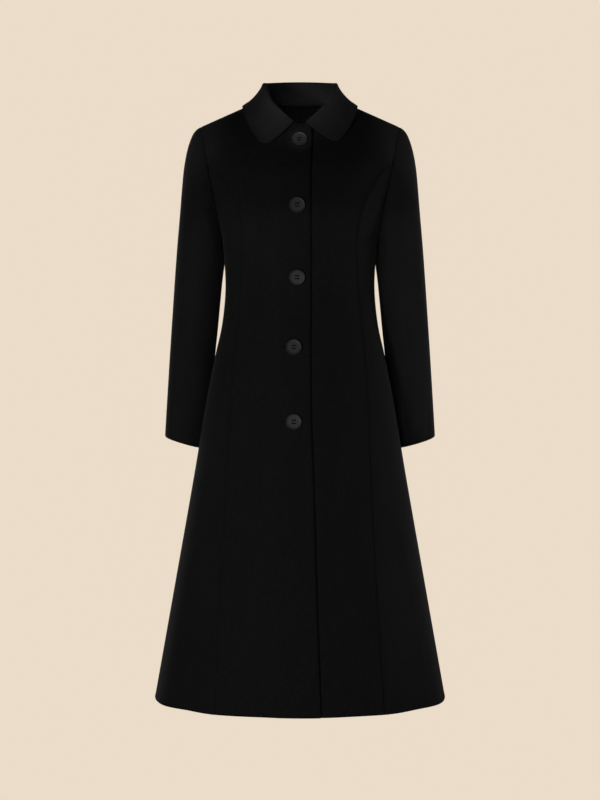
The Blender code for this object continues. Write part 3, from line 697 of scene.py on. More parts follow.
def front_rows(side):
    """Centre front, from its edge to the princess seam and the armhole."""

    def starts(z):
        return [front_edge_x(z)] if side == RIGHT else [-UNDERLAP, front_edge_x(z)]

    top = top_edge(True, starts(NECK_FRONT), side)
    rows = []
    for z in panel_heights(side):
        stops = starts(z) + [side * (princess_x(side, z) + OVERLAP)]
        rows.append(ring_row([angle_at_x(True, x, z) for x in stops], z, len(top)))
    straight, seam_rows = len(body_heights()), len(rows)
    rows += shoulder_rows(True, side, rows[-1], top)
    first = "front edge" if side == RIGHT else "edge"

    def edges(i):
        last = "rolled seam" if i < straight else "curved seam" if i < seam_rows else "armhole"
        return Edges(first, last, "edge", "plain seam")

    rows = reached(dressed(rows, edges, BODY_CREASES), last=True, top=True)
    return rows if side == RIGHT else sunk(rows, 2 * len(EDGE_STEPS) + LAP_COLUMNS - 1)


# %% Side fronts
POINT_SHARE = 0.985


def side_front_rows(side):
    """Side front, from the princess seam to the side seam, with a pointed top."""
    heights = panel_heights(side)
    seam = [princess_x(side, z) for z in heights]
    heights[-1] = mix(heights[-2], heights[-1], POINT_SHARE)
    seam[-1] = mix(seam[-2], seam[-1], POINT_SHARE)
    rows = []
    for z, x in zip(heights, seam):
        start = angle_at_x(True, side * (x - OVERLAP), z)
        depth = -OVERLAP if z <= UNDERARM else armhole_depth(True, z)
        end = angle_at_depth(True, side, max(depth, 0), z)
        rows.append(flat_row(start, end, z, SIDE_COLUMNS))
    below = sum(z <= UNDERARM for z in heights)

    def edges(i):
        return Edges("plain seam", "plain seam" if i < below else "armhole", "edge", "none")

    return reached(dressed(rows, edges, BODY_CREASES), first=True, last=True, top=True)


# %% Backs
def back_rows(side):
    """Half back, from the centre back seam to the side seam and the armhole."""
    top = top_edge(False, [-side * OVERLAP], side)
    rows = []
    heights = panel_heights(side)
    for z in heights:
        depth = 0 if z <= UNDERARM else armhole_depth(False, z)
        end = angle_at_depth(False, side, depth, z)
        rows.append(flat_row(side * math.pi, end, z, len(top) - 2 * len(EDGE_STEPS)))
    below = sum(z <= UNDERARM for z in heights)
    rows += shoulder_rows(False, side, rows[-1], top)

    def edges(i):
        return Edges("plain seam", "plain seam" if i < below else "armhole", "edge", "plain seam")

    return reached(dressed(rows, edges, BODY_CREASES), first=True, last=True, top=True)


# %% [markdown]
# The wearer's right front laps over the left one. It stands out by one cloth and a little air,
# and eases down to its neighbours over a few centimetres, as a buttoned front does.

# %% The lap of the fronts
Fade = namedtuple("Fade", "start width")
LAP_FADE = {RIGHT: Fade(0.032, 0.040), LEFT: Fade(0.045, 0.030)}


def lap_lift(x):
    fade = LAP_FADE[LEFT if x >= 0 else RIGHT]
    return (CLOTH + LAP_GAP) * (1 - ease((abs(x) - fade.start) / fade.width))


def lifted(rows):
    return [[moved(spot, lap_lift(spot.at.x)) for spot in row] for row in rows]


print(f"the lap stands out by {lap_lift(0.0) * 1000:.1f} mm")

# %% [markdown]
# ## A wall of cloth
#
# The spots give the outer face, and points one cloth thickness under them the inner face.
# A strip of quads closes the wall all round, so that the cloth has a real edge. One level of
# subdivision rounds the edges and seams. Each point also remembers how near it lies to an
# edge, because the nap is pressed flatter there, and the material reads that.

# %% Objects in the scene
def in_scene(name, data):
    """Puts an object with this data into the scene."""
    made = bpy.data.objects.new(name, data)
    bpy.context.scene.collection.objects.link(made)
    return made


def from_bmesh(name, bm):
    """A mesh object with what was built in a bmesh, its faces turned outwards."""
    mesh = bpy.data.meshes.new(name)
    bmesh.ops.recalc_face_normals(bm, faces=bm.faces)
    bm.to_mesh(mesh)
    bm.free()
    return in_scene(name, mesh)


# %% Build a wall from rows of spots
PRESSED_WIDTH = 0.007


def near_edge(rows, i, j):
    """1 on the panel's edge, falling to 0 a few millimetres away."""
    row, spot = rows[i], rows[i][j]
    ends = (row[0], row[-1], rows[0][j], rows[-1][j])
    return max(0.0, 1 - min((spot.at - end.at).length for end in ends) / PRESSED_WIDTH)


def cloth_wall(name, rows, outer, inner):
    """A closed wall between an outer and an inner face, each at a distance from the spots."""
    bm = bmesh.new()
    pressed = bm.verts.layers.float.new("pressed")
    faces = {}
    for key, distance in (("outer", outer), ("inner", inner)):
        faces[key] = [[bm.verts.new(s.at + s.normal * distance) for s in row] for row in rows]
    height, width = len(rows), len(rows[0])
    for i in range(height):
        for j in range(width):
            for grid in faces.values():
                grid[i][j][pressed] = near_edge(rows, i, j)
    for i in range(height - 1):
        for j in range(width - 1):
            for grid in faces.values():
                bm.faces.new((grid[i][j], grid[i][j + 1], grid[i + 1][j + 1], grid[i + 1][j]))
    border = [(0, j) for j in range(width)]
    border += [(i, width - 1) for i in range(1, height)]
    border += [(height - 1, j) for j in range(width - 2, -1, -1)]
    border += [(i, 0) for i in range(height - 2, 0, -1)]
    for (i, j), (k, m) in zip(border, border[1:] + border[:1]):
        a, b = faces["outer"][i][j], faces["outer"][k][m]
        c, d = faces["inner"][k][m], faces["inner"][i][j]
        bm.faces.new((a, b, c, d))
    piece = from_bmesh(name, bm)
    piece.data.shade_smooth()
    smooth = piece.modifiers.new("soften", "SUBSURF")
    smooth.levels = smooth.render_levels = 1
    return piece


# %% Measure a cloth and keep it
def row_length(row):
    return sum((b.at - a.at).length for a, b in zip(row, row[1:]))


def sheet_size(rows):
    """Width, length and area of the cut that a grid of spots stands for."""
    width = max(row_length(row) for row in rows)
    length = max(row_length([row[j] for row in rows]) for j in range(len(rows[0])))
    area = 0.0
    for low, high in zip(rows, rows[1:]):
        for j in range(len(low) - 1):
            a, b, c, d = low[j].at, low[j + 1].at, high[j + 1].at, high[j].at
            area += ((c - a).cross(d - b)).length / 2
    return width, length, area


cloth_pieces = {}


def add_cloth(name, rows, outer=0.0, inner=-CLOTH):
    piece = cloth_wall(name + "_cloth", rows, outer, inner)
    width, length, area = sheet_size(rows)
    cloth_pieces[name] = (piece, width, length, area)
    print(f"{name}: {width:.3f} x {length:.3f} m, {area:.3f} m2, {len(piece.data.polygons)} faces")


# %% Make the body panels
add_cloth("right_front", lifted(front_rows(RIGHT)))
add_cloth("left_front", front_rows(LEFT))
for side, word in SIDES:
    add_cloth(word + "_side_front", side_front_rows(side))
    add_cloth(word + "_back", back_rows(side))

# %% [markdown]
# ## Sleeves
#
# A two-piece sleeve bends forward a little with the arm. Its rings start in the armhole's
# slanting plane and end square to the forearm. The upper sleeve takes most of the way round
# and the under sleeve the rest, so that both seams lie out of sight from the front.

# %% Lines of the sleeve
SLEEVE_ROWS, UPPER_COLUMNS, UNDER_COLUMNS = 46, 26, 5
CAP_RINGS, CAP_SHARE = 4, 0.28
SEAM_LAP_DEGREES, LOOK_DEGREES, LOOK_SHARE = 0.12, 2, 0.015
SLEEVE_LENGTH, SLEEVE_RADIUS = 0.60, 0.05

armhole_ring = Ring(SHOULDER_TIP_X, SHOULDER_TIP_Z, ARMHOLE_LOW_X, UNDERARM, 0, ARMHOLE_FRONT)
sleeve_rings = (armhole_ring,) + SLEEVE_RINGS
sleeve_lines = lines_through(sleeve_rings)
print("rings from armhole to cuff:", len(sleeve_rings))

# %% Points and spots of the sleeve
def sleeve_point(share, degrees):
    """A point of the sleeve: share 0 is the armhole and 1 the cuff; 0 degrees is outermost."""
    key = share * (len(sleeve_rings) - 1)
    ring = Ring(*(sleeve_lines[name](key) for name in Ring._fields))
    turn = math.radians(degrees)
    is_front = 0 <= degrees % 360 <= 180
    start_round = face_round(is_front) if math.cos(turn) >= 0 else ARMHOLE_ROUND
    blend = ease(key / CAP_RINGS)
    power = 2 / mix(start_round, SLEEVE_ROUND, blend)
    outer = Vector((ring.outer_x, 0, ring.outer_z))
    inner = Vector((ring.inner_x, 0, ring.inner_z))
    centre = (outer + inner) / 2
    depth = ring.depth
    if not is_front:
        depth += mix(ARMHOLE_BACK - ARMHOLE_FRONT, 0, blend)
    point = centre + (outer - centre) * signed_power(math.cos(turn), power)
    point.y = ring.middle - depth * signed_power(math.sin(turn), power)
    return point


def sleeve_spot(share, degrees):
    """A spot of the sleeve. Near the armhole its normal points straight away from the arm."""
    point = sleeve_point(share, degrees)
    low, high = max(share - LOOK_SHARE, 0), min(share + LOOK_SHARE, 1)
    across = sleeve_point(share, degrees + LOOK_DEGREES)
    across -= sleeve_point(share, degrees - LOOK_DEGREES)
    down = sleeve_point(high, degrees) - sleeve_point(low, degrees)
    centre = (sleeve_point(share, 0) + sleeve_point(share, 180)) / 2
    straight = (point - centre).normalized()
    normal = across.cross(down).normalized()
    if normal.dot(straight) < 0:
        normal = -normal
    return Spot(point, mix(straight, normal, ease(share / CAP_SHARE)).normalized())


def mirrored(spot, side):
    flip = Vector((side, 1, 1))
    return Spot(spot.at * flip, spot.normal * flip)


# %% Rows of a sleeve piece
def sleeve_rows(side, start, end, columns):
    shares = [step / SLEEVE_LENGTH for step in EDGE_STEPS]
    shares += spread(shares[-1], 1 - shares[-1], SLEEVE_ROWS)[1:-1]
    shares += [1 - step / SLEEVE_LENGTH for step in reversed(EDGE_STEPS)]
    width = math.radians(end - start) * SLEEVE_RADIUS
    turns = [mix(start, end, place) for place in edge_shares(width, columns)]
    rows = [[mirrored(sleeve_spot(share, turn), side) for turn in turns] for share in shares]
    edges = Edges("plain seam", "plain seam", "sleeve head", "edge")
    rows = dressed(rows, lambda i: edges, SLEEVE_CREASES)
    return reached(rows, first=True, last=True, bottom=True)


# %% Make the sleeves
for side, word in SIDES:
    for part, start, end, columns in (
        ("upper", BACK_SLEEVE_SEAM - 360, FRONT_SLEEVE_SEAM, UPPER_COLUMNS),
        ("under", FRONT_SLEEVE_SEAM, BACK_SLEEVE_SEAM, UNDER_COLUMNS),
    ):
        rows = sleeve_rows(side, start - SEAM_LAP_DEGREES, end + SEAM_LAP_DEGREES, columns)
        add_cloth(f"{word}_{part}_sleeve", rows)

# %% [markdown]
# ## The collar
#
# The collar is one piece that stands up from the neck seam, rolls over and falls onto the
# shoulders. Each section of it runs from the neck seam over the roll to the leaf's edge. The
# leaf's outline comes from a short table for the front and a sweep round the back.

# %% Lines of the collar
FOLD_TURNS = (180, 150, 120, 90, 60, 30, 0)
LEAF_SHARES = (0.10, 0.22, 0.36, 0.50, 0.64, 0.78, 0.89, 0.955, 0.985, 1.0)
FRONT_STEPS = (
    0, 0.14, 0.34, 0.64, 1.0, 1.4, 1.8, 2.25, 2.75, 3.25,
    3.75, 4.3, 4.9, 5.5, 6.2, 7, 7.8, 8.6, 9.3,
)
BACK_SECTIONS, STRAIGHT_STEPS, LEAF_BACK_ROUND = 16, 3, 2.2
SEAM_DEPTH, SEAM_RISE, STAND_START, STAND_SHARES = 0.001, 0.0013, 0.0025, (0.25, 0.5, 0.75)
UP_SHARE, FOLD_START, FOLD_RATE = 0.1, 0.15, 1.6

leaf_lines = lines_through(COLLAR_LEAF)
roll_lines = lines_through(COLLAR_ROLL, [row.share for row in COLLAR_ROLL])
print("sections in half a collar:", len(FRONT_STEPS) + BACK_SECTIONS)

# %% One section of the collar
def collar_section(is_front, side, neck_x, edge_x, edge_z, stand, inward, radius, straight=0.0):
    """Middle line of the collar's cloth, from the neck seam over the roll to its edge.

    A straight section, seen from the front, makes the collar's end; the others follow the body.
    """
    neck_z = neckline_z(is_front, neck_x)
    neck_rise = min(rise_at(is_front, neck_x, neck_z), math.pi / 2)
    edge_rise = rise_at(is_front, edge_x, edge_z)
    seam = shoulder_spot(is_front, side * neck_x, neck_rise)
    near_x, near_rise = mix(neck_x, edge_x, UP_SHARE), mix(neck_rise, edge_rise, UP_SHARE)
    near = shoulder_spot(is_front, side * near_x, near_rise)
    up = (seam.at - near.at).normalized()
    base = seam.at + seam.normal * (lap_lift(side * neck_x) if is_front else 0.0)
    foot = base - seam.normal * CLOTH / 2 - up * SEAM_DEPTH
    out = Vector((seam.at.x, seam.at.y, 0)).normalized()
    roll = base + Vector((0, 0, stand)) - out * inward
    points = [foot, foot + up * SEAM_RISE]
    for share in STAND_SHARES:
        points.append((foot + up * STAND_START).lerp(roll - out * radius, share))
    for turn in map(math.radians, FOLD_TURNS):
        points.append(roll + (out * math.cos(turn) + Vector((0, 0, math.sin(turn)))) * radius)
    top = points[-1]
    for share in LEAF_SHARES:
        x = side * mix(neck_x, edge_x, share)
        rise = mix(neck_rise, edge_rise, share)
        if straight:
            z = mix(neck_z, edge_z, share) - END_BOW * math.sin(math.pi * share)
            rise = mix(rise, rise_at(is_front, abs(x), z), straight)
        spot = shoulder_spot(is_front, x, rise)
        lift = COLLAR_CLOTH / 2 + LEAF_CLEARANCE + (lap_lift(x) if is_front else 0.0)
        lift += LEAF_PUFF * math.sin(math.pi * share)
        lift += LEAF_EDGE_LIFT * share**3 * math.cos(edge_rise)
        points.append(top.lerp(moved(spot, lift).at, ease(FOLD_START + share * FOLD_RATE)))
    return points


# %% Half a collar
def collar_side(side):
    """Sections of one half, from its front end to the centre back."""
    length = LEFT_LEAF_LENGTH if side == LEFT else 1
    first_turn = math.asin(COLLAR_END_X / SHOULDER_NECK_X)
    sections = []
    for step in FRONT_STEPS:
        share = math.sin(mix(first_turn, math.pi / 2, step / (len(COLLAR_LEAF) - 1)))
        roll = [roll_lines[name](share) for name in ("stand", "inward", "radius")]
        edge_x, edge_z = leaf_lines["x"](step), leaf_lines["z"](step) * length
        straight = 1 - ease(step / STRAIGHT_STEPS)
        neck_x = SHOULDER_NECK_X * share
        sections.append(collar_section(True, side, neck_x, edge_x, edge_z, *roll, straight))
    last = COLLAR_ROLL[-1]
    for turn in spread(math.pi / 2, 0, BACK_SECTIONS):
        share = math.sin(turn)
        edge_z = mix(LEAF_BACK_Z, shoulder_z(LEAF_SHOULDER_X), share**LEAF_BACK_ROUND)
        stand = mix(STAND_BACK, last.stand, share**2)
        inward = mix(STAND_BACK * INWARD_BACK, last.inward, share**2)
        neck_x, edge_x = SHOULDER_NECK_X * share, LEAF_SHOULDER_X * share
        sections.append(
            collar_section(False, side, neck_x, edge_x, edge_z, stand, inward, last.radius)
        )
    return sections


# %% Spots of a grid
def grid_spots(rows):
    """Turns a grid of middle points into spots, with normals from the neighbours."""
    spots = []
    for i, row in enumerate(rows):
        before, after = rows[max(0, i - 1)], rows[min(len(rows) - 1, i + 1)]
        line = []
        for j, point in enumerate(row):
            across = after[j] - before[j]
            ahead = row[min(len(row) - 1, j + 1)] - row[max(0, j - 1)]
            line.append(Spot(point, across.cross(ahead).normalized()))
        spots.append(line)
    return spots


# %% Make the collar
collar_rows = grid_spots(collar_side(RIGHT) + collar_side(LEFT)[:-1][::-1])
add_cloth("collar", collar_rows, COLLAR_CLOTH / 2, -COLLAR_CLOTH / 2)

# %% [markdown]
# ## Buttons
#
# A coat button is turned from a disc, so half of its section is enough: a dished middle, a
# round rim and a chamfered back. Four holes are cut with countersunk cutters. The five
# buttons are equal, so one shape is made and Geometry Nodes set it on five points, which
# carry the direction that each one faces.

# %% Turned shapes
BUTTON_RADIUS, BUTTON_THICKNESS, BUTTON_STEPS = 0.0146, 0.0044, 72
BUTTON_SECTION = (
    (0.00, 0.78), (0.30, 0.78), (0.60, 0.78), (0.72, 0.785), (0.79, 0.80), (0.83, 0.84),
    (0.87, 0.91), (0.90, 0.96), (0.93, 1.00), (0.955, 1.00), (0.975, 0.96), (0.990, 0.88),
    (1.00, 0.76), (1.00, 0.66), (0.985, 0.50), (0.95, 0.34), (0.90, 0.20), (0.84, 0.09),
    (0.76, 0.02), (0.68, 0.00), (0.00, 0.00),
)


def lathe(bm, section, centre, steps):
    """A closed turned shape round a vertical line; the section runs from axis to axis."""
    x, y = centre
    turns = [2 * math.pi * k / steps for k in range(steps)]
    rings = []
    for radius, z in section:
        if radius == 0:
            rings.append([bm.verts.new((x, y, z))] * steps)
        else:
            ring = [(x + radius * math.cos(t), y + radius * math.sin(t), z) for t in turns]
            rings.append([bm.verts.new(place) for place in ring])
    for low, high in zip(rings, rings[1:]):
        for k in range(steps):
            corners = (low[k - 1], low[k], high[k], high[k - 1])
            bm.faces.new(tuple(dict.fromkeys(corners)))


button_blank = bmesh.new()
section = [(radius * BUTTON_RADIUS, z * BUTTON_THICKNESS) for radius, z in BUTTON_SECTION]
lathe(button_blank, section, (0, 0), BUTTON_STEPS)
blank = from_bmesh("button_blank", button_blank)
print("blank button:", len(blank.data.polygons), "faces")

# %% Cut the four holes
HOLE_RADIUS, HOLE_ACROSS, HOLE_UP, HOLE_STEPS = 0.0015, 0.00205, 0.0027, 24
DISH = 0.78 * BUTTON_THICKNESS
COUNTERSINK = ((0.0, -0.00045), (0.00006, -0.00012), (0.0002, 0.00005))
DRILL_BOTTOM, DRILL_TOP = -0.002, 0.008
SHARP_ANGLE, FACE_UP, PAINTED_RIM_SHARE = math.radians(40), 0.8, 0.955


def finished(made, name):
    """A plain mesh object with the modifiers of another one baked in."""
    graph = bpy.context.evaluated_depsgraph_get()
    mesh = bpy.data.meshes.new_from_object(made.evaluated_get(graph), depsgraph=graph)
    mesh.name = name
    bpy.data.objects.remove(made)
    mesh.shade_smooth()
    mesh.set_sharp_from_angle(angle=SHARP_ANGLE)
    return in_scene(name, mesh)


drill = [(0, DRILL_BOTTOM), (HOLE_RADIUS, DRILL_BOTTOM)]
drill += [(HOLE_RADIUS + out, DISH + up) for out, up in COUNTERSINK]
drill += [(HOLE_RADIUS + COUNTERSINK[-1][0], DRILL_TOP), (0, DRILL_TOP)]
holes = bmesh.new()
for x in (-HOLE_ACROSS, HOLE_ACROSS):
    for y in (-HOLE_UP, HOLE_UP):
        lathe(holes, drill, (x, y), HOLE_STEPS)
drills = from_bmesh("button_drills", holes)
cut = blank.modifiers.new("holes", "BOOLEAN")
cut.operation, cut.object = "DIFFERENCE", drills
button_shape = finished(blank, "button_shape")
bpy.data.objects.remove(drills)
# Up-facing faces inside the rim keep the face colour; the rim and the sides get painted shade.
unshaded_face = button_shape.data.attributes.new("unshaded_face", "FLOAT", "FACE")
for polygon, value in zip(button_shape.data.polygons, unshaded_face.data):
    across = polygon.center.xy.length / BUTTON_RADIUS
    value.value = float(polygon.normal.z > FACE_UP and across < PAINTED_RIM_SHARE)
print("one button:", len(button_shape.data.polygons), "faces")

# %% [markdown]
# ### Where the buttons sit
#
# The CAD model has already seated each button on the cloth, so the middle of its box is the
# middle of the button. The direction is the cloth's normal there. Thread holds each button
# and shows as two short bars, one between the upper holes and one between the lower ones.

# %% Seats of the buttons
def front_spot(x, z):
    """A spot of the lapped front near its edge."""
    return moved(ring_spot(angle_at_x(True, x, z), z), lap_lift(x))


button_seats = []
for number, place in enumerate(BUTTON_PLACES, start=1):
    low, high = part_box(f"button_{number}")
    middle = (Vector(low) + Vector(high)) / 2
    normal = front_spot(place.x, place.z).normal
    button_seats.append(moved(Spot(middle, normal), -BUTTON_THICKNESS / 2))
    print(f"button {number} at", [round(value, 4) for value in middle])

# %% [markdown]
# ### Nodes with few words
#
# A node is set and wired in many small steps. Two helpers take them up: one adds a node and
# feeds each input with a plain value or with another node's output, and one opens a tree with
# its named inputs and outputs.

# %% Helpers for nodes
def add_node(tree, kind, inputs=None, **settings):
    """A node with its settings, and its inputs fed with values or with outputs of others."""
    node = tree.nodes.new(kind)
    for key, value in settings.items():
        setattr(node, key, value)
    for key, value in (inputs or {}).items():
        if isinstance(value, bpy.types.NodeSocket):
            tree.links.new(value, node.inputs[key])
        else:
            node.inputs[key].default_value = value
    return node


def new_tree(name, kind, inputs, outputs):
    """A tree whose sockets are given as name, kind and first value, and what its inputs give."""
    tree = bpy.data.node_groups.new(name, kind)
    for way, sockets in (("INPUT", inputs), ("OUTPUT", outputs)):
        for label, (socket_kind, value) in sockets.items():
            socket = tree.interface.new_socket(
                label, in_out=way, socket_type="NodeSocket" + socket_kind
            )
            if value is not None:
                socket.default_value = value
    return tree, add_node(tree, "NodeGroupInput").outputs


# %% [markdown]
# ### A tree that sets shapes on points
#
# The same small tree sets the buttons on the coat and the stitches round the buttonholes.
# Each point has a `facing` and a `side` direction, and the shape's Z and X axes are turned
# to them. Its inputs are the shape, its size, how uneven that is, and its finish.

# %% Node tree: a shape on every point
SEED = 4


def direction(tree, name):
    kind = "GeometryNodeInputNamedAttribute"
    return add_node(tree, kind, {"Name": name}, data_type="FLOAT_VECTOR").outputs["Attribute"]


def setting_tree():
    tree, given = new_tree("Set shapes on points", "GeometryNodeTree", {
        "Geometry": ("Geometry", None), "Shape": ("Object", None), "Size": ("Float", 1.0),
        "Unevenness": ("Float", 0.0), "Finish": ("Material", None),
    }, {"Geometry": ("Geometry", None)})
    shape = add_node(tree, "GeometryNodeObjectInfo", {"Object": given["Shape"]})
    turn = add_node(tree, "FunctionNodeAxesToRotation", {
        "Primary Axis": direction(tree, "facing"), "Secondary Axis": direction(tree, "side"),
    }, primary_axis="Z", secondary_axis="X")
    limits = {0: given["Size"], 1: given["Unevenness"]}
    low = add_node(tree, "ShaderNodeMath", limits, operation="SUBTRACT").outputs[0]
    high = add_node(tree, "ShaderNodeMath", limits, operation="ADD").outputs[0]
    wobble = add_node(
        tree, "FunctionNodeRandomValue", {2: low, 3: high, "Seed": SEED}, data_type="FLOAT"
    )
    place = add_node(tree, "GeometryNodeInstanceOnPoints", {
        "Points": given["Geometry"], "Instance": shape.outputs["Geometry"],
        "Rotation": turn.outputs["Rotation"], "Scale": wobble.outputs[1],
    })
    real = add_node(tree, "GeometryNodeRealizeInstances", {"Geometry": place.outputs[0]})
    paint = add_node(tree, "GeometryNodeSetMaterial", {
        "Geometry": real.outputs["Geometry"], "Material": given["Finish"],
    })
    add_node(tree, "NodeGroupOutput", {"Geometry": paint.outputs["Geometry"]})
    return tree


tree_for_setting = setting_tree()
print("nodes in the setting tree:", len(tree_for_setting.nodes))

# %% Set a shape on spots
def set_on_points(name, spots, sides, shape, finish, unevenness=0.0):
    """A plain mesh with one copy of a shape on every spot. The shape itself is then removed."""
    mesh = bpy.data.meshes.new(name + "_points")
    mesh.from_pydata([spot.at for spot in spots], [], [])
    for key, vectors in (("facing", [spot.normal for spot in spots]), ("side", sides)):
        attribute = mesh.attributes.new(key, "FLOAT_VECTOR", "POINT")
        attribute.data.foreach_set("vector", [value for vector in vectors for value in vector])
    points = in_scene(name + "_points", mesh)
    modifier = points.modifiers.new("set", "NODES")
    modifier.node_group = tree_for_setting
    values = {"Shape": shape, "Size": 1.0, "Unevenness": unevenness, "Finish": finish}
    for item in tree_for_setting.interface.items_tree:
        if item.in_out == "INPUT" and item.name in values:
            modifier[item.identifier] = values[item.name]
    result = finished(points, name)
    bpy.data.objects.remove(shape)
    print(f"{name}: {len(spots)} shapes, {len(result.data.polygons)} faces")
    return result


# %% [markdown]
# ## Finishes
#
# The cloth is a dense black wool coating. Its nap is brushed down, so under a lens it is a
# field of short fibres, and from a step away it is a soft, slightly cloudy black. Seen
# edge-on the fibres catch the light, which is what sheen stands for. The node group below
# makes the nap once, for the coat and the collar. It gives a colour and a height, and the
# shader's own sockets hold what is the same all over.

# %% Parts of a pattern
def noise(tree, place, scale, detail=2.0, rough=0.5):
    inputs = {"Vector": place, "Scale": scale, "Detail": detail, "Roughness": rough}
    return add_node(tree, "ShaderNodeTexNoise", inputs).outputs["Fac"]


def drawn_out(tree, place, height):
    """Draws a pattern out along Z, because the fibres lie down the coat."""
    inputs = {"Vector": place, "Scale": (1.0, 1.0, height)}
    return add_node(tree, "ShaderNodeMapping", inputs).outputs["Vector"]


def arithmetic(tree, operation, *values, **settings):
    inputs = dict(enumerate(values))
    return add_node(tree, "ShaderNodeMath", inputs, operation=operation, **settings).outputs[0]


def weighted(tree, terms):
    """The sum of several values, each less its middle and times its weight."""
    total = 0.0
    for value, weight in terms:
        centred = arithmetic(tree, "SUBTRACT", value, 0.5)
        total = arithmetic(tree, "MULTIPLY_ADD", centred, weight, total)
    return total


def mixed_colour(tree, share, start, end):
    inputs = {"Factor": share, 6: start, 7: end}
    return add_node(tree, "ShaderNodeMix", inputs, data_type="RGBA").outputs[2]


# %% Node group: brushed nap
FIBRE_SIZE = 0.0011
FIBRE_HEIGHT, STROKE_HEIGHT = 0.42, 0.12
TUFTS_PER_METRE, CLOUDS_PER_METRE, STROKES_PER_METRE = 340.0, 26.0, 38.0
PRESSED_DARKENS = -0.35


def nap_group():
    tree, given = new_tree("Brushed nap", "ShaderNodeTree", {
        "Shade": ("Color", (0.004, 0.004, 0.004, 1)),
        "Light": ("Color", (0.008, 0.008, 0.008, 1)),
        "Fibre size": ("Float", FIBRE_SIZE), "Cloudiness": ("Float", 0.5),
        "Pressed": ("Float", 0.0),
    }, {"Colour": ("Color", None), "Height": ("Float", None)})
    place = add_node(tree, "ShaderNodeTexCoord").outputs["Object"]
    lying = drawn_out(tree, place, FIBRE_HEIGHT)
    fibres_per_metre = arithmetic(tree, "DIVIDE", 1.0, given["Fibre size"])
    fibres = noise(tree, lying, fibres_per_metre, 3.0, 0.6)
    tufts = noise(tree, lying, TUFTS_PER_METRE)
    clouds = noise(tree, place, CLOUDS_PER_METRE)
    strokes = noise(tree, drawn_out(tree, place, STROKE_HEIGHT), STROKES_PER_METRE, 1.0)

    cloudy = given["Cloudiness"]
    pattern = weighted(tree, ((fibres, 1.2), (tufts, 0.9), (clouds, cloudy), (strokes, cloudy)))
    pressed = arithmetic(tree, "MULTIPLY_ADD", given["Pressed"], PRESSED_DARKENS, 0.5)
    share = arithmetic(tree, "ADD", pattern, pressed, use_clamp=True)
    add_node(tree, "NodeGroupOutput", {
        "Colour": mixed_colour(tree, share, given["Shade"], given["Light"]),
        "Height": weighted(tree, ((fibres, 0.7), (tufts, 0.8), (clouds, 0.6))),
    })
    return tree


nap = nap_group()
print("nodes in the nap:", len(nap.nodes))

# %% [markdown]
# Each cloth has a finish of its own that places the group with its own values. The collar is made
# of the same wool, with its colour painted about twice as light: painted light on the collar.

# %% What every finish shares
def new_finish(name, shown, roughness, gloss, sheen=0.0, sheen_roughness=0.5):
    """A material, its tree and its shader; shown is its plain colour in the viewport."""
    finish = bpy.data.materials.new(name)
    finish.use_nodes = True
    finish.diffuse_color = (*shown, 1)
    shader = finish.node_tree.nodes["Principled BSDF"]
    shader.inputs["Roughness"].default_value = roughness
    shader.inputs["Sheen Weight"].default_value = sheen
    shader.inputs["Sheen Roughness"].default_value = sheen_roughness
    shader.inputs["Specular IOR Level"].default_value = gloss
    return finish, finish.node_tree, shader


def dress(tree, shader, colour, height, strength, distance):
    """Feeds the shader with a colour, and with a relief that stands out by a distance."""
    bump = {"Height": height, "Strength": strength, "Distance": distance}
    relief = add_node(tree, "ShaderNodeBump", bump)
    tree.links.new(relief.outputs["Normal"], shader.inputs["Normal"])
    tree.links.new(colour, shader.inputs["Base Color"])


def mask(tree, name):
    return add_node(tree, "ShaderNodeAttribute", attribute_name=name).outputs["Fac"]


def ramp(tree, share, dark, light, start=0.0, end=1.0):
    node = add_node(tree, "ShaderNodeValToRGB", {"Fac": share})
    first, last = node.color_ramp.elements
    first.position, last.position = start, end
    first.color, last.color = (*dark, 1), (*light, 1)
    return node.outputs["Color"]


# %% Wool of the coat and the collar
WOOL_ROUGHNESS, WOOL_GLOSS, SHEEN_ROUGHNESS, NAP_RELIEF = 0.92, 0.03, 0.4, 0.00035


def wool(name, shade, light, sheen, cloudiness):
    finish, tree, shader = new_finish(
        name, light, WOOL_ROUGHNESS, WOOL_GLOSS, sheen, SHEEN_ROUGHNESS
    )
    cloth = add_node(tree, "ShaderNodeGroup", node_tree=nap)
    for key, value in (
        ("Shade", (*shade, 1)), ("Light", (*light, 1)),
        ("Fibre size", FIBRE_SIZE), ("Cloudiness", cloudiness),
    ):
        cloth.inputs[key].default_value = value
    tree.links.new(mask(tree, "pressed"), cloth.inputs["Pressed"])
    dress(tree, shader, cloth.outputs["Colour"], cloth.outputs["Height"], 1.0, NAP_RELIEF)
    return finish


coat_finish = wool(
    "black wool", (0.0042, 0.0042, 0.0041), (0.0093, 0.0094, 0.0092), sheen=0.032, cloudiness=0.22
)
# The collar's colours are painted light: the same wool, about twice as light.
collar_finish = wool(
    "black wool painted lighter", (0.0100, 0.0100, 0.0099), (0.0200, 0.0200, 0.0198),
    sheen=0.05, cloudiness=0.3,
)
print("wool:", coat_finish.name, "and", collar_finish.name)

# %% Resin of the buttons and thread
CLOUDS, GRAINS, STRANDS = 240.0, 2600.0, 3200.0
RESIN_RELIEF, THREAD_RELIEF = 0.00003, 0.00006
FACE_DARK, FACE_LIGHT = (0.0130, 0.0130, 0.0128), (0.0180, 0.0180, 0.0177)
# Near-black painted shade for the rim and sides of each button.
PAINTED_SHADE_SIDES = (0.0025, 0.0025, 0.0025, 1)


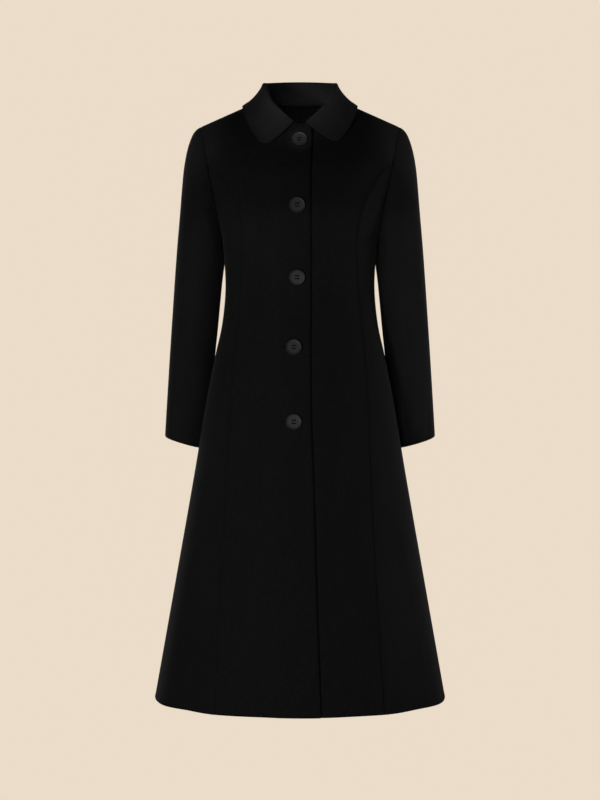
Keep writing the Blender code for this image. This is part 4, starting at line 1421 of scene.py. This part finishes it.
def resin_finish():
    """Charcoal button resin: the face is a satin grey, and the rim and sides are painted near
    black as painted shade.
    """
    finish, tree, shader = new_finish("charcoal resin", (0.018, 0.017, 0.018), 0.5, 0.22)
    place = add_node(tree, "ShaderNodeTexCoord").outputs["Object"]
    cloud, grain = noise(tree, place, CLOUDS, 3.0), noise(tree, place, GRAINS)
    face = ramp(tree, cloud, FACE_DARK, FACE_LIGHT, 0.3, 0.7)
    wear = add_node(tree, "ShaderNodeMapRange", {"Value": cloud, "To Min": 0.46, "To Max": 0.60})
    tree.links.new(wear.outputs["Result"], shader.inputs["Roughness"])
    # The rim and sides take the painted shade colour, the face its own grey.
    colour = mixed_colour(tree, mask(tree, "unshaded_face"), PAINTED_SHADE_SIDES, face)
    dress(tree, shader, colour, grain, 0.6, RESIN_RELIEF)
    return finish


def thread_finish(name, dark, light):
    """Thread twisted from fine strands, between two greys."""
    finish, tree, shader = new_finish(name, (light,) * 3, 0.8, 0.05)
    place = add_node(tree, "ShaderNodeTexCoord").outputs["Object"]
    strands = noise(tree, place, STRANDS)
    colour = ramp(tree, strands, (dark,) * 3, (light,) * 3)
    dress(tree, shader, colour, strands, 0.7, THREAD_RELIEF)
    return finish


button_finish = resin_finish()
thread = thread_finish("charcoal thread", 0.0060, 0.0120)
twist = thread_finish("soft black twist", 0.0044, 0.0080)
print("small parts:", *(finish.name for finish in (button_finish, thread, twist)), sep="; ")

# %% Set the five buttons
def cloth_axes(normal):
    """Directions across and up the cloth where it faces along a normal."""
    sideways = Vector((0, 0, 1)).cross(normal).normalized()
    return sideways, normal.cross(sideways)


across = [cloth_axes(seat.normal)[0] for seat in button_seats]
buttons = set_on_points("buttons", button_seats, across, button_shape, button_finish)

# %% [markdown]
# ## Thread
#
# Two bars of thread, each of two strands, cross every button from hole to hole, and every
# buttonhole has a row of close stitches on both lips of its slit. Only the slit's outer end
# shows beside the button. One strand and one stitch are made as small rounded rods, and the
# same tree sets them.

# %% A rounded rod for bars and stitches
ROD_ARCH, ROD_TAPER = 1.6, 0.25


def rod(name, length, radius, steps, rings):
    """A rod along X that arches up over the cloth and dips in at both ends."""
    bm = bmesh.new()
    turns = [2 * math.pi * k / steps for k in range(steps)]
    loops = []
    for x_share in spread(0, 1, rings):
        x, end = (x_share - 0.5) * length, 2 * x_share - 1
        rise = radius * ROD_ARCH * (1 - end**4) - radius
        size = radius * max(ROD_TAPER, 1 - end**6 * (1 - ROD_TAPER))
        loop = [(x, size * math.cos(t), rise + size * math.sin(t)) for t in turns]
        loops.append([bm.verts.new(place) for place in loop])
    for low, high in zip(loops, loops[1:]):
        for k in range(steps):
            bm.faces.new((low[k - 1], low[k], high[k], high[k - 1]))
    bm.faces.new(loops[0])
    bm.faces.new(loops[-1])
    return from_bmesh(name, bm)


# %% Thread bars of the buttons
BAR_RADIUS, BAR_BEYOND, BAR_APART, BAR_SUNK = 0.00038, 0.0002, 0.0004, 0.00025

bars, bar_sides = [], []
for seat in button_seats:
    sideways, upward = cloth_axes(seat.normal)
    for up in (-HOLE_UP, HOLE_UP):
        for offset in (-BAR_APART, BAR_APART):
            at = seat.at + seat.normal * (DISH - BAR_SUNK) + upward * (up + offset)
            bars.append(Spot(at, seat.normal))
            bar_sides.append(sideways)
bar = rod("thread_bar", 2 * HOLE_ACROSS + BAR_BEYOND, BAR_RADIUS, steps=10, rings=9)
button_thread = set_on_points("button_thread", bars, bar_sides, bar, thread, unevenness=0.03)

# %% Buttonhole stitches
SLIT_LENGTH, SLIT_REACH = 0.0250, 0.0226
STITCH_PITCH, STITCH_LENGTH, STITCH_RADIUS = 0.00062, 0.0020, 0.00028
LIP_REACH, END_REACH = STITCH_LENGTH / 2 + 0.00012, STITCH_LENGTH / 2 + 0.0002
STITCH_LIFT, END_STITCHES = 0.3, 7

stitches, stitch_sides = [], []


def add_stitch(spot, way, reach):
    """A stitch along a direction, its middle at a reach from the spot on the slit."""
    at = spot.at + way * reach + spot.normal * STITCH_RADIUS * STITCH_LIFT
    stitches.append(Spot(at, spot.normal))
    stitch_sides.append(way)


for place in BUTTON_PLACES:
    outer_x = place.x - SLIT_REACH
    for i in range(int(SLIT_LENGTH / STITCH_PITCH) + 1):
        spot = front_spot(outer_x + i * STITCH_PITCH, place.z)
        upward = cloth_axes(spot.normal)[1]
        for lip in (-1, 1):
            add_stitch(spot, upward, lip * LIP_REACH)
    spot = front_spot(outer_x, place.z)
    sideways, upward = cloth_axes(spot.normal)
    for turn in spread(0.5 * math.pi, 1.5 * math.pi, END_STITCHES + 2)[1:-1]:
        add_stitch(spot, sideways * math.cos(turn) + upward * math.sin(turn), END_REACH)
stitch = rod("stitch", STITCH_LENGTH, STITCH_RADIUS, steps=6, rings=6)
buttonholes = set_on_points(
    "buttonholes", stitches, stitch_sides, stitch, twist, unevenness=0.08
)

# %% [markdown]
# ## Floor, light and camera
#
# The coat hangs over a plain cream sweep, so floor and background have one colour. The camera
# sees the sweep cream, but black cloth lit by cream would look brown. So the light path node
# gives the camera the cream, and gives the coat a weak white light instead.

# %% Floor and world
CREAM = (0.8308, 0.7157, 0.5841)
SWEEP_LIGHT, ROOM_LIGHT = (0.25, 0.25, 0.25), (0.005, 0.005, 0.005)
FLOOR_Z, FLOOR_SIZE = -1.5, 30

floor_mesh = bmesh.new()
bmesh.ops.create_grid(floor_mesh, x_segments=1, y_segments=1, size=FLOOR_SIZE)
bmesh.ops.translate(floor_mesh, verts=floor_mesh.verts, vec=(0, 0, FLOOR_Z))
floor = from_bmesh("floor", floor_mesh)


def seen_and_given(tree, kind, given, output):
    """One colour for the camera and another for the light that reaches the coat."""
    parts = [add_node(tree, kind, {"Color": (*colour, 1)}) for colour in (given, CREAM)]
    path = add_node(tree, "ShaderNodeLightPath")
    choose = add_node(tree, "ShaderNodeMixShader", {
        "Fac": path.outputs["Is Camera Ray"], 1: parts[0].outputs[0], 2: parts[1].outputs[0],
    })
    tree.links.new(choose.outputs[0], tree.nodes[output].inputs["Surface"])


floor_finish = bpy.data.materials.new("cream sweep")
floor_finish.use_nodes = True
floor_tree = floor_finish.node_tree
floor_tree.nodes.remove(floor_tree.nodes["Principled BSDF"])
seen_and_given(floor_tree, "ShaderNodeEmission", SWEEP_LIGHT, "Material Output")
floor.data.materials.append(floor_finish)
floor.visible_shadow = False

world = bpy.data.worlds.new("cream room")
world.use_nodes = True
seen_and_given(world.node_tree, "ShaderNodeBackground", ROOM_LIGHT, "World Output")
bpy.context.scene.world = world
print("sweep at", FLOOR_Z, "m, seen as", CREAM)

# %% [markdown]
# The key stands a little to the viewer's left and one lamp low in front. Lamps at both sides
# and behind draw the sleeves and the outline, because black cloth shows its form mostly by
# the light that grazes it. The skirt gets a wide spot of its own, so that the chest stays
# darker than the cloth from the bust down. Narrow spots light the neck, the collar, the first
# button and the shoulders, and thin strips light the sleeves along their length.

# %% Lamps at the sides, behind and in front
MIDDLE = (0, 0, -0.55)
WIDE, TALL, KEY_SIZE = (2.4, 1.8), (1.4, 2.6), (0.5, 0.5)


def aimed(name, light, at, target):
    """Puts a lamp into the scene and turns it towards a point."""
    lamp = in_scene(name, light)
    lamp.location = at
    lamp.rotation_euler = (Vector(target) - Vector(at)).to_track_quat("-Z", "Y").to_euler()
    return lamp


def area_light(name, at, target, size, power):
    light = bpy.data.lights.new(name, "AREA")
    light.shape, light.size, light.size_y = "RECTANGLE", size[0], size[1]
    light.energy = power
    lamp = aimed(name, light, at, target)
    lamp.visible_camera = False
    return lamp


area_light("front low", (0, -3.0, -2.5), MIDDLE, WIDE, 11)
area_light("key", (-1.3, -2.3, -0.55), (0, 0, -0.34), KEY_SIZE, 24)
area_light("right side", (-3.2, 0.3, -0.5), MIDDLE, TALL, 2)
area_light("left side", (3.2, 0.3, -0.5), MIDDLE, TALL, 37)
area_light("right behind", (-2.0, 2.6, -0.4), MIDDLE, TALL, 16)
area_light("left behind", (2.0, 2.6, -0.4), MIDDLE, TALL, 8)

# %% Strips on the sleeves
STRIP_WIDTH, STRIP_SPREAD = 0.06, math.radians(6)

for side, z, length, power in (
    (RIGHT, -0.22, 0.45, 0.028), (RIGHT, -0.45, 0.9, 0.052), (LEFT, -0.58, 0.9, 0.150)
):
    at, sleeve_at = (side * 1.3, -3.0, z), (side * 0.24, -0.03, z)
    strip = area_light("sleeve strip", at, sleeve_at, (STRIP_WIDTH, length), power)
    strip.data.spread = STRIP_SPREAD

# %% Spots on the neck, the collar, the first button, the skirt and the shoulders
def spot_light(name, at, target, degrees, blend, power, radius=0.02):
    light = bpy.data.lights.new(name, "SPOT")
    light.energy, light.spot_size, light.spot_blend = power, math.radians(degrees), blend
    light.shadow_soft_size = radius
    aimed(name, light, at, target)


spot_light("into the neck", (0, -2.5, 1.2), (0, 0.01, 0.010), 3.4, 1.0, 66)
spot_light("collar", (-1.0, -2.5, 1.0), (-0.008, -0.06, -0.012), 3.8, 1.0, 122)
spot_light("first button", (0, -2.5, 1.0), (-0.001, -0.0975, -0.0675), 0.62, 0.2, 80, 0.006)
spot_light("below the chest", (-0.3, -1.9, -0.45), (0, -0.1, -0.68), 31.4, 0.10, 19)
spot_light("right shoulder", (-2.4, -1.6, 1.4), (-0.205, 0, -0.085), 3.6, 1.0, 180)
spot_light("left shoulder", (2.4, -1.6, 1.4), (0.205, 0, -0.085), 3.8, 1.0, 200)
print("lamps:", len(bpy.data.lights))

# %% [markdown]
# The camera is a long lens five metres away, level with the chest and tilted down a little.

# %% Camera
PHOTO_HEIGHT, FOCAL_PIXELS, SENSOR, TILT_DOWN = 800, 2660, 36, 4.3
camera_data = bpy.data.cameras.new("camera")
camera_data.sensor_width = SENSOR
camera_data.lens = FOCAL_PIXELS * SENSOR / PHOTO_HEIGHT
camera = in_scene("camera", camera_data)
camera.location = (0, -5, -0.18)
camera.rotation_euler = (math.radians(90 - TILT_DOWN), 0, 0)
bpy.context.scene.camera = camera
bpy.context.scene.view_settings.view_transform = "Standard"
print(f"lens: {camera_data.lens:.1f} mm")

# %% [markdown]
# ## Join the dressed pieces to the model
#
# Each piece is set to move with the root body, and the imported solid that it stands for is
# hidden. Each cloth gets its wool finish.

# %% Cloth, buttons and thread
for name, (piece, width, length, area) in cloth_pieces.items():
    is_collar = name == "collar"
    piece.data.materials.append(collar_finish if is_collar else coat_finish)
    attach(piece, "root")
    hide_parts(name)

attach(buttons, "root")
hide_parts(*(f"button_{number}" for number in range(1, 6)))
for piece in (button_thread, buttonholes):
    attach(piece, "root")
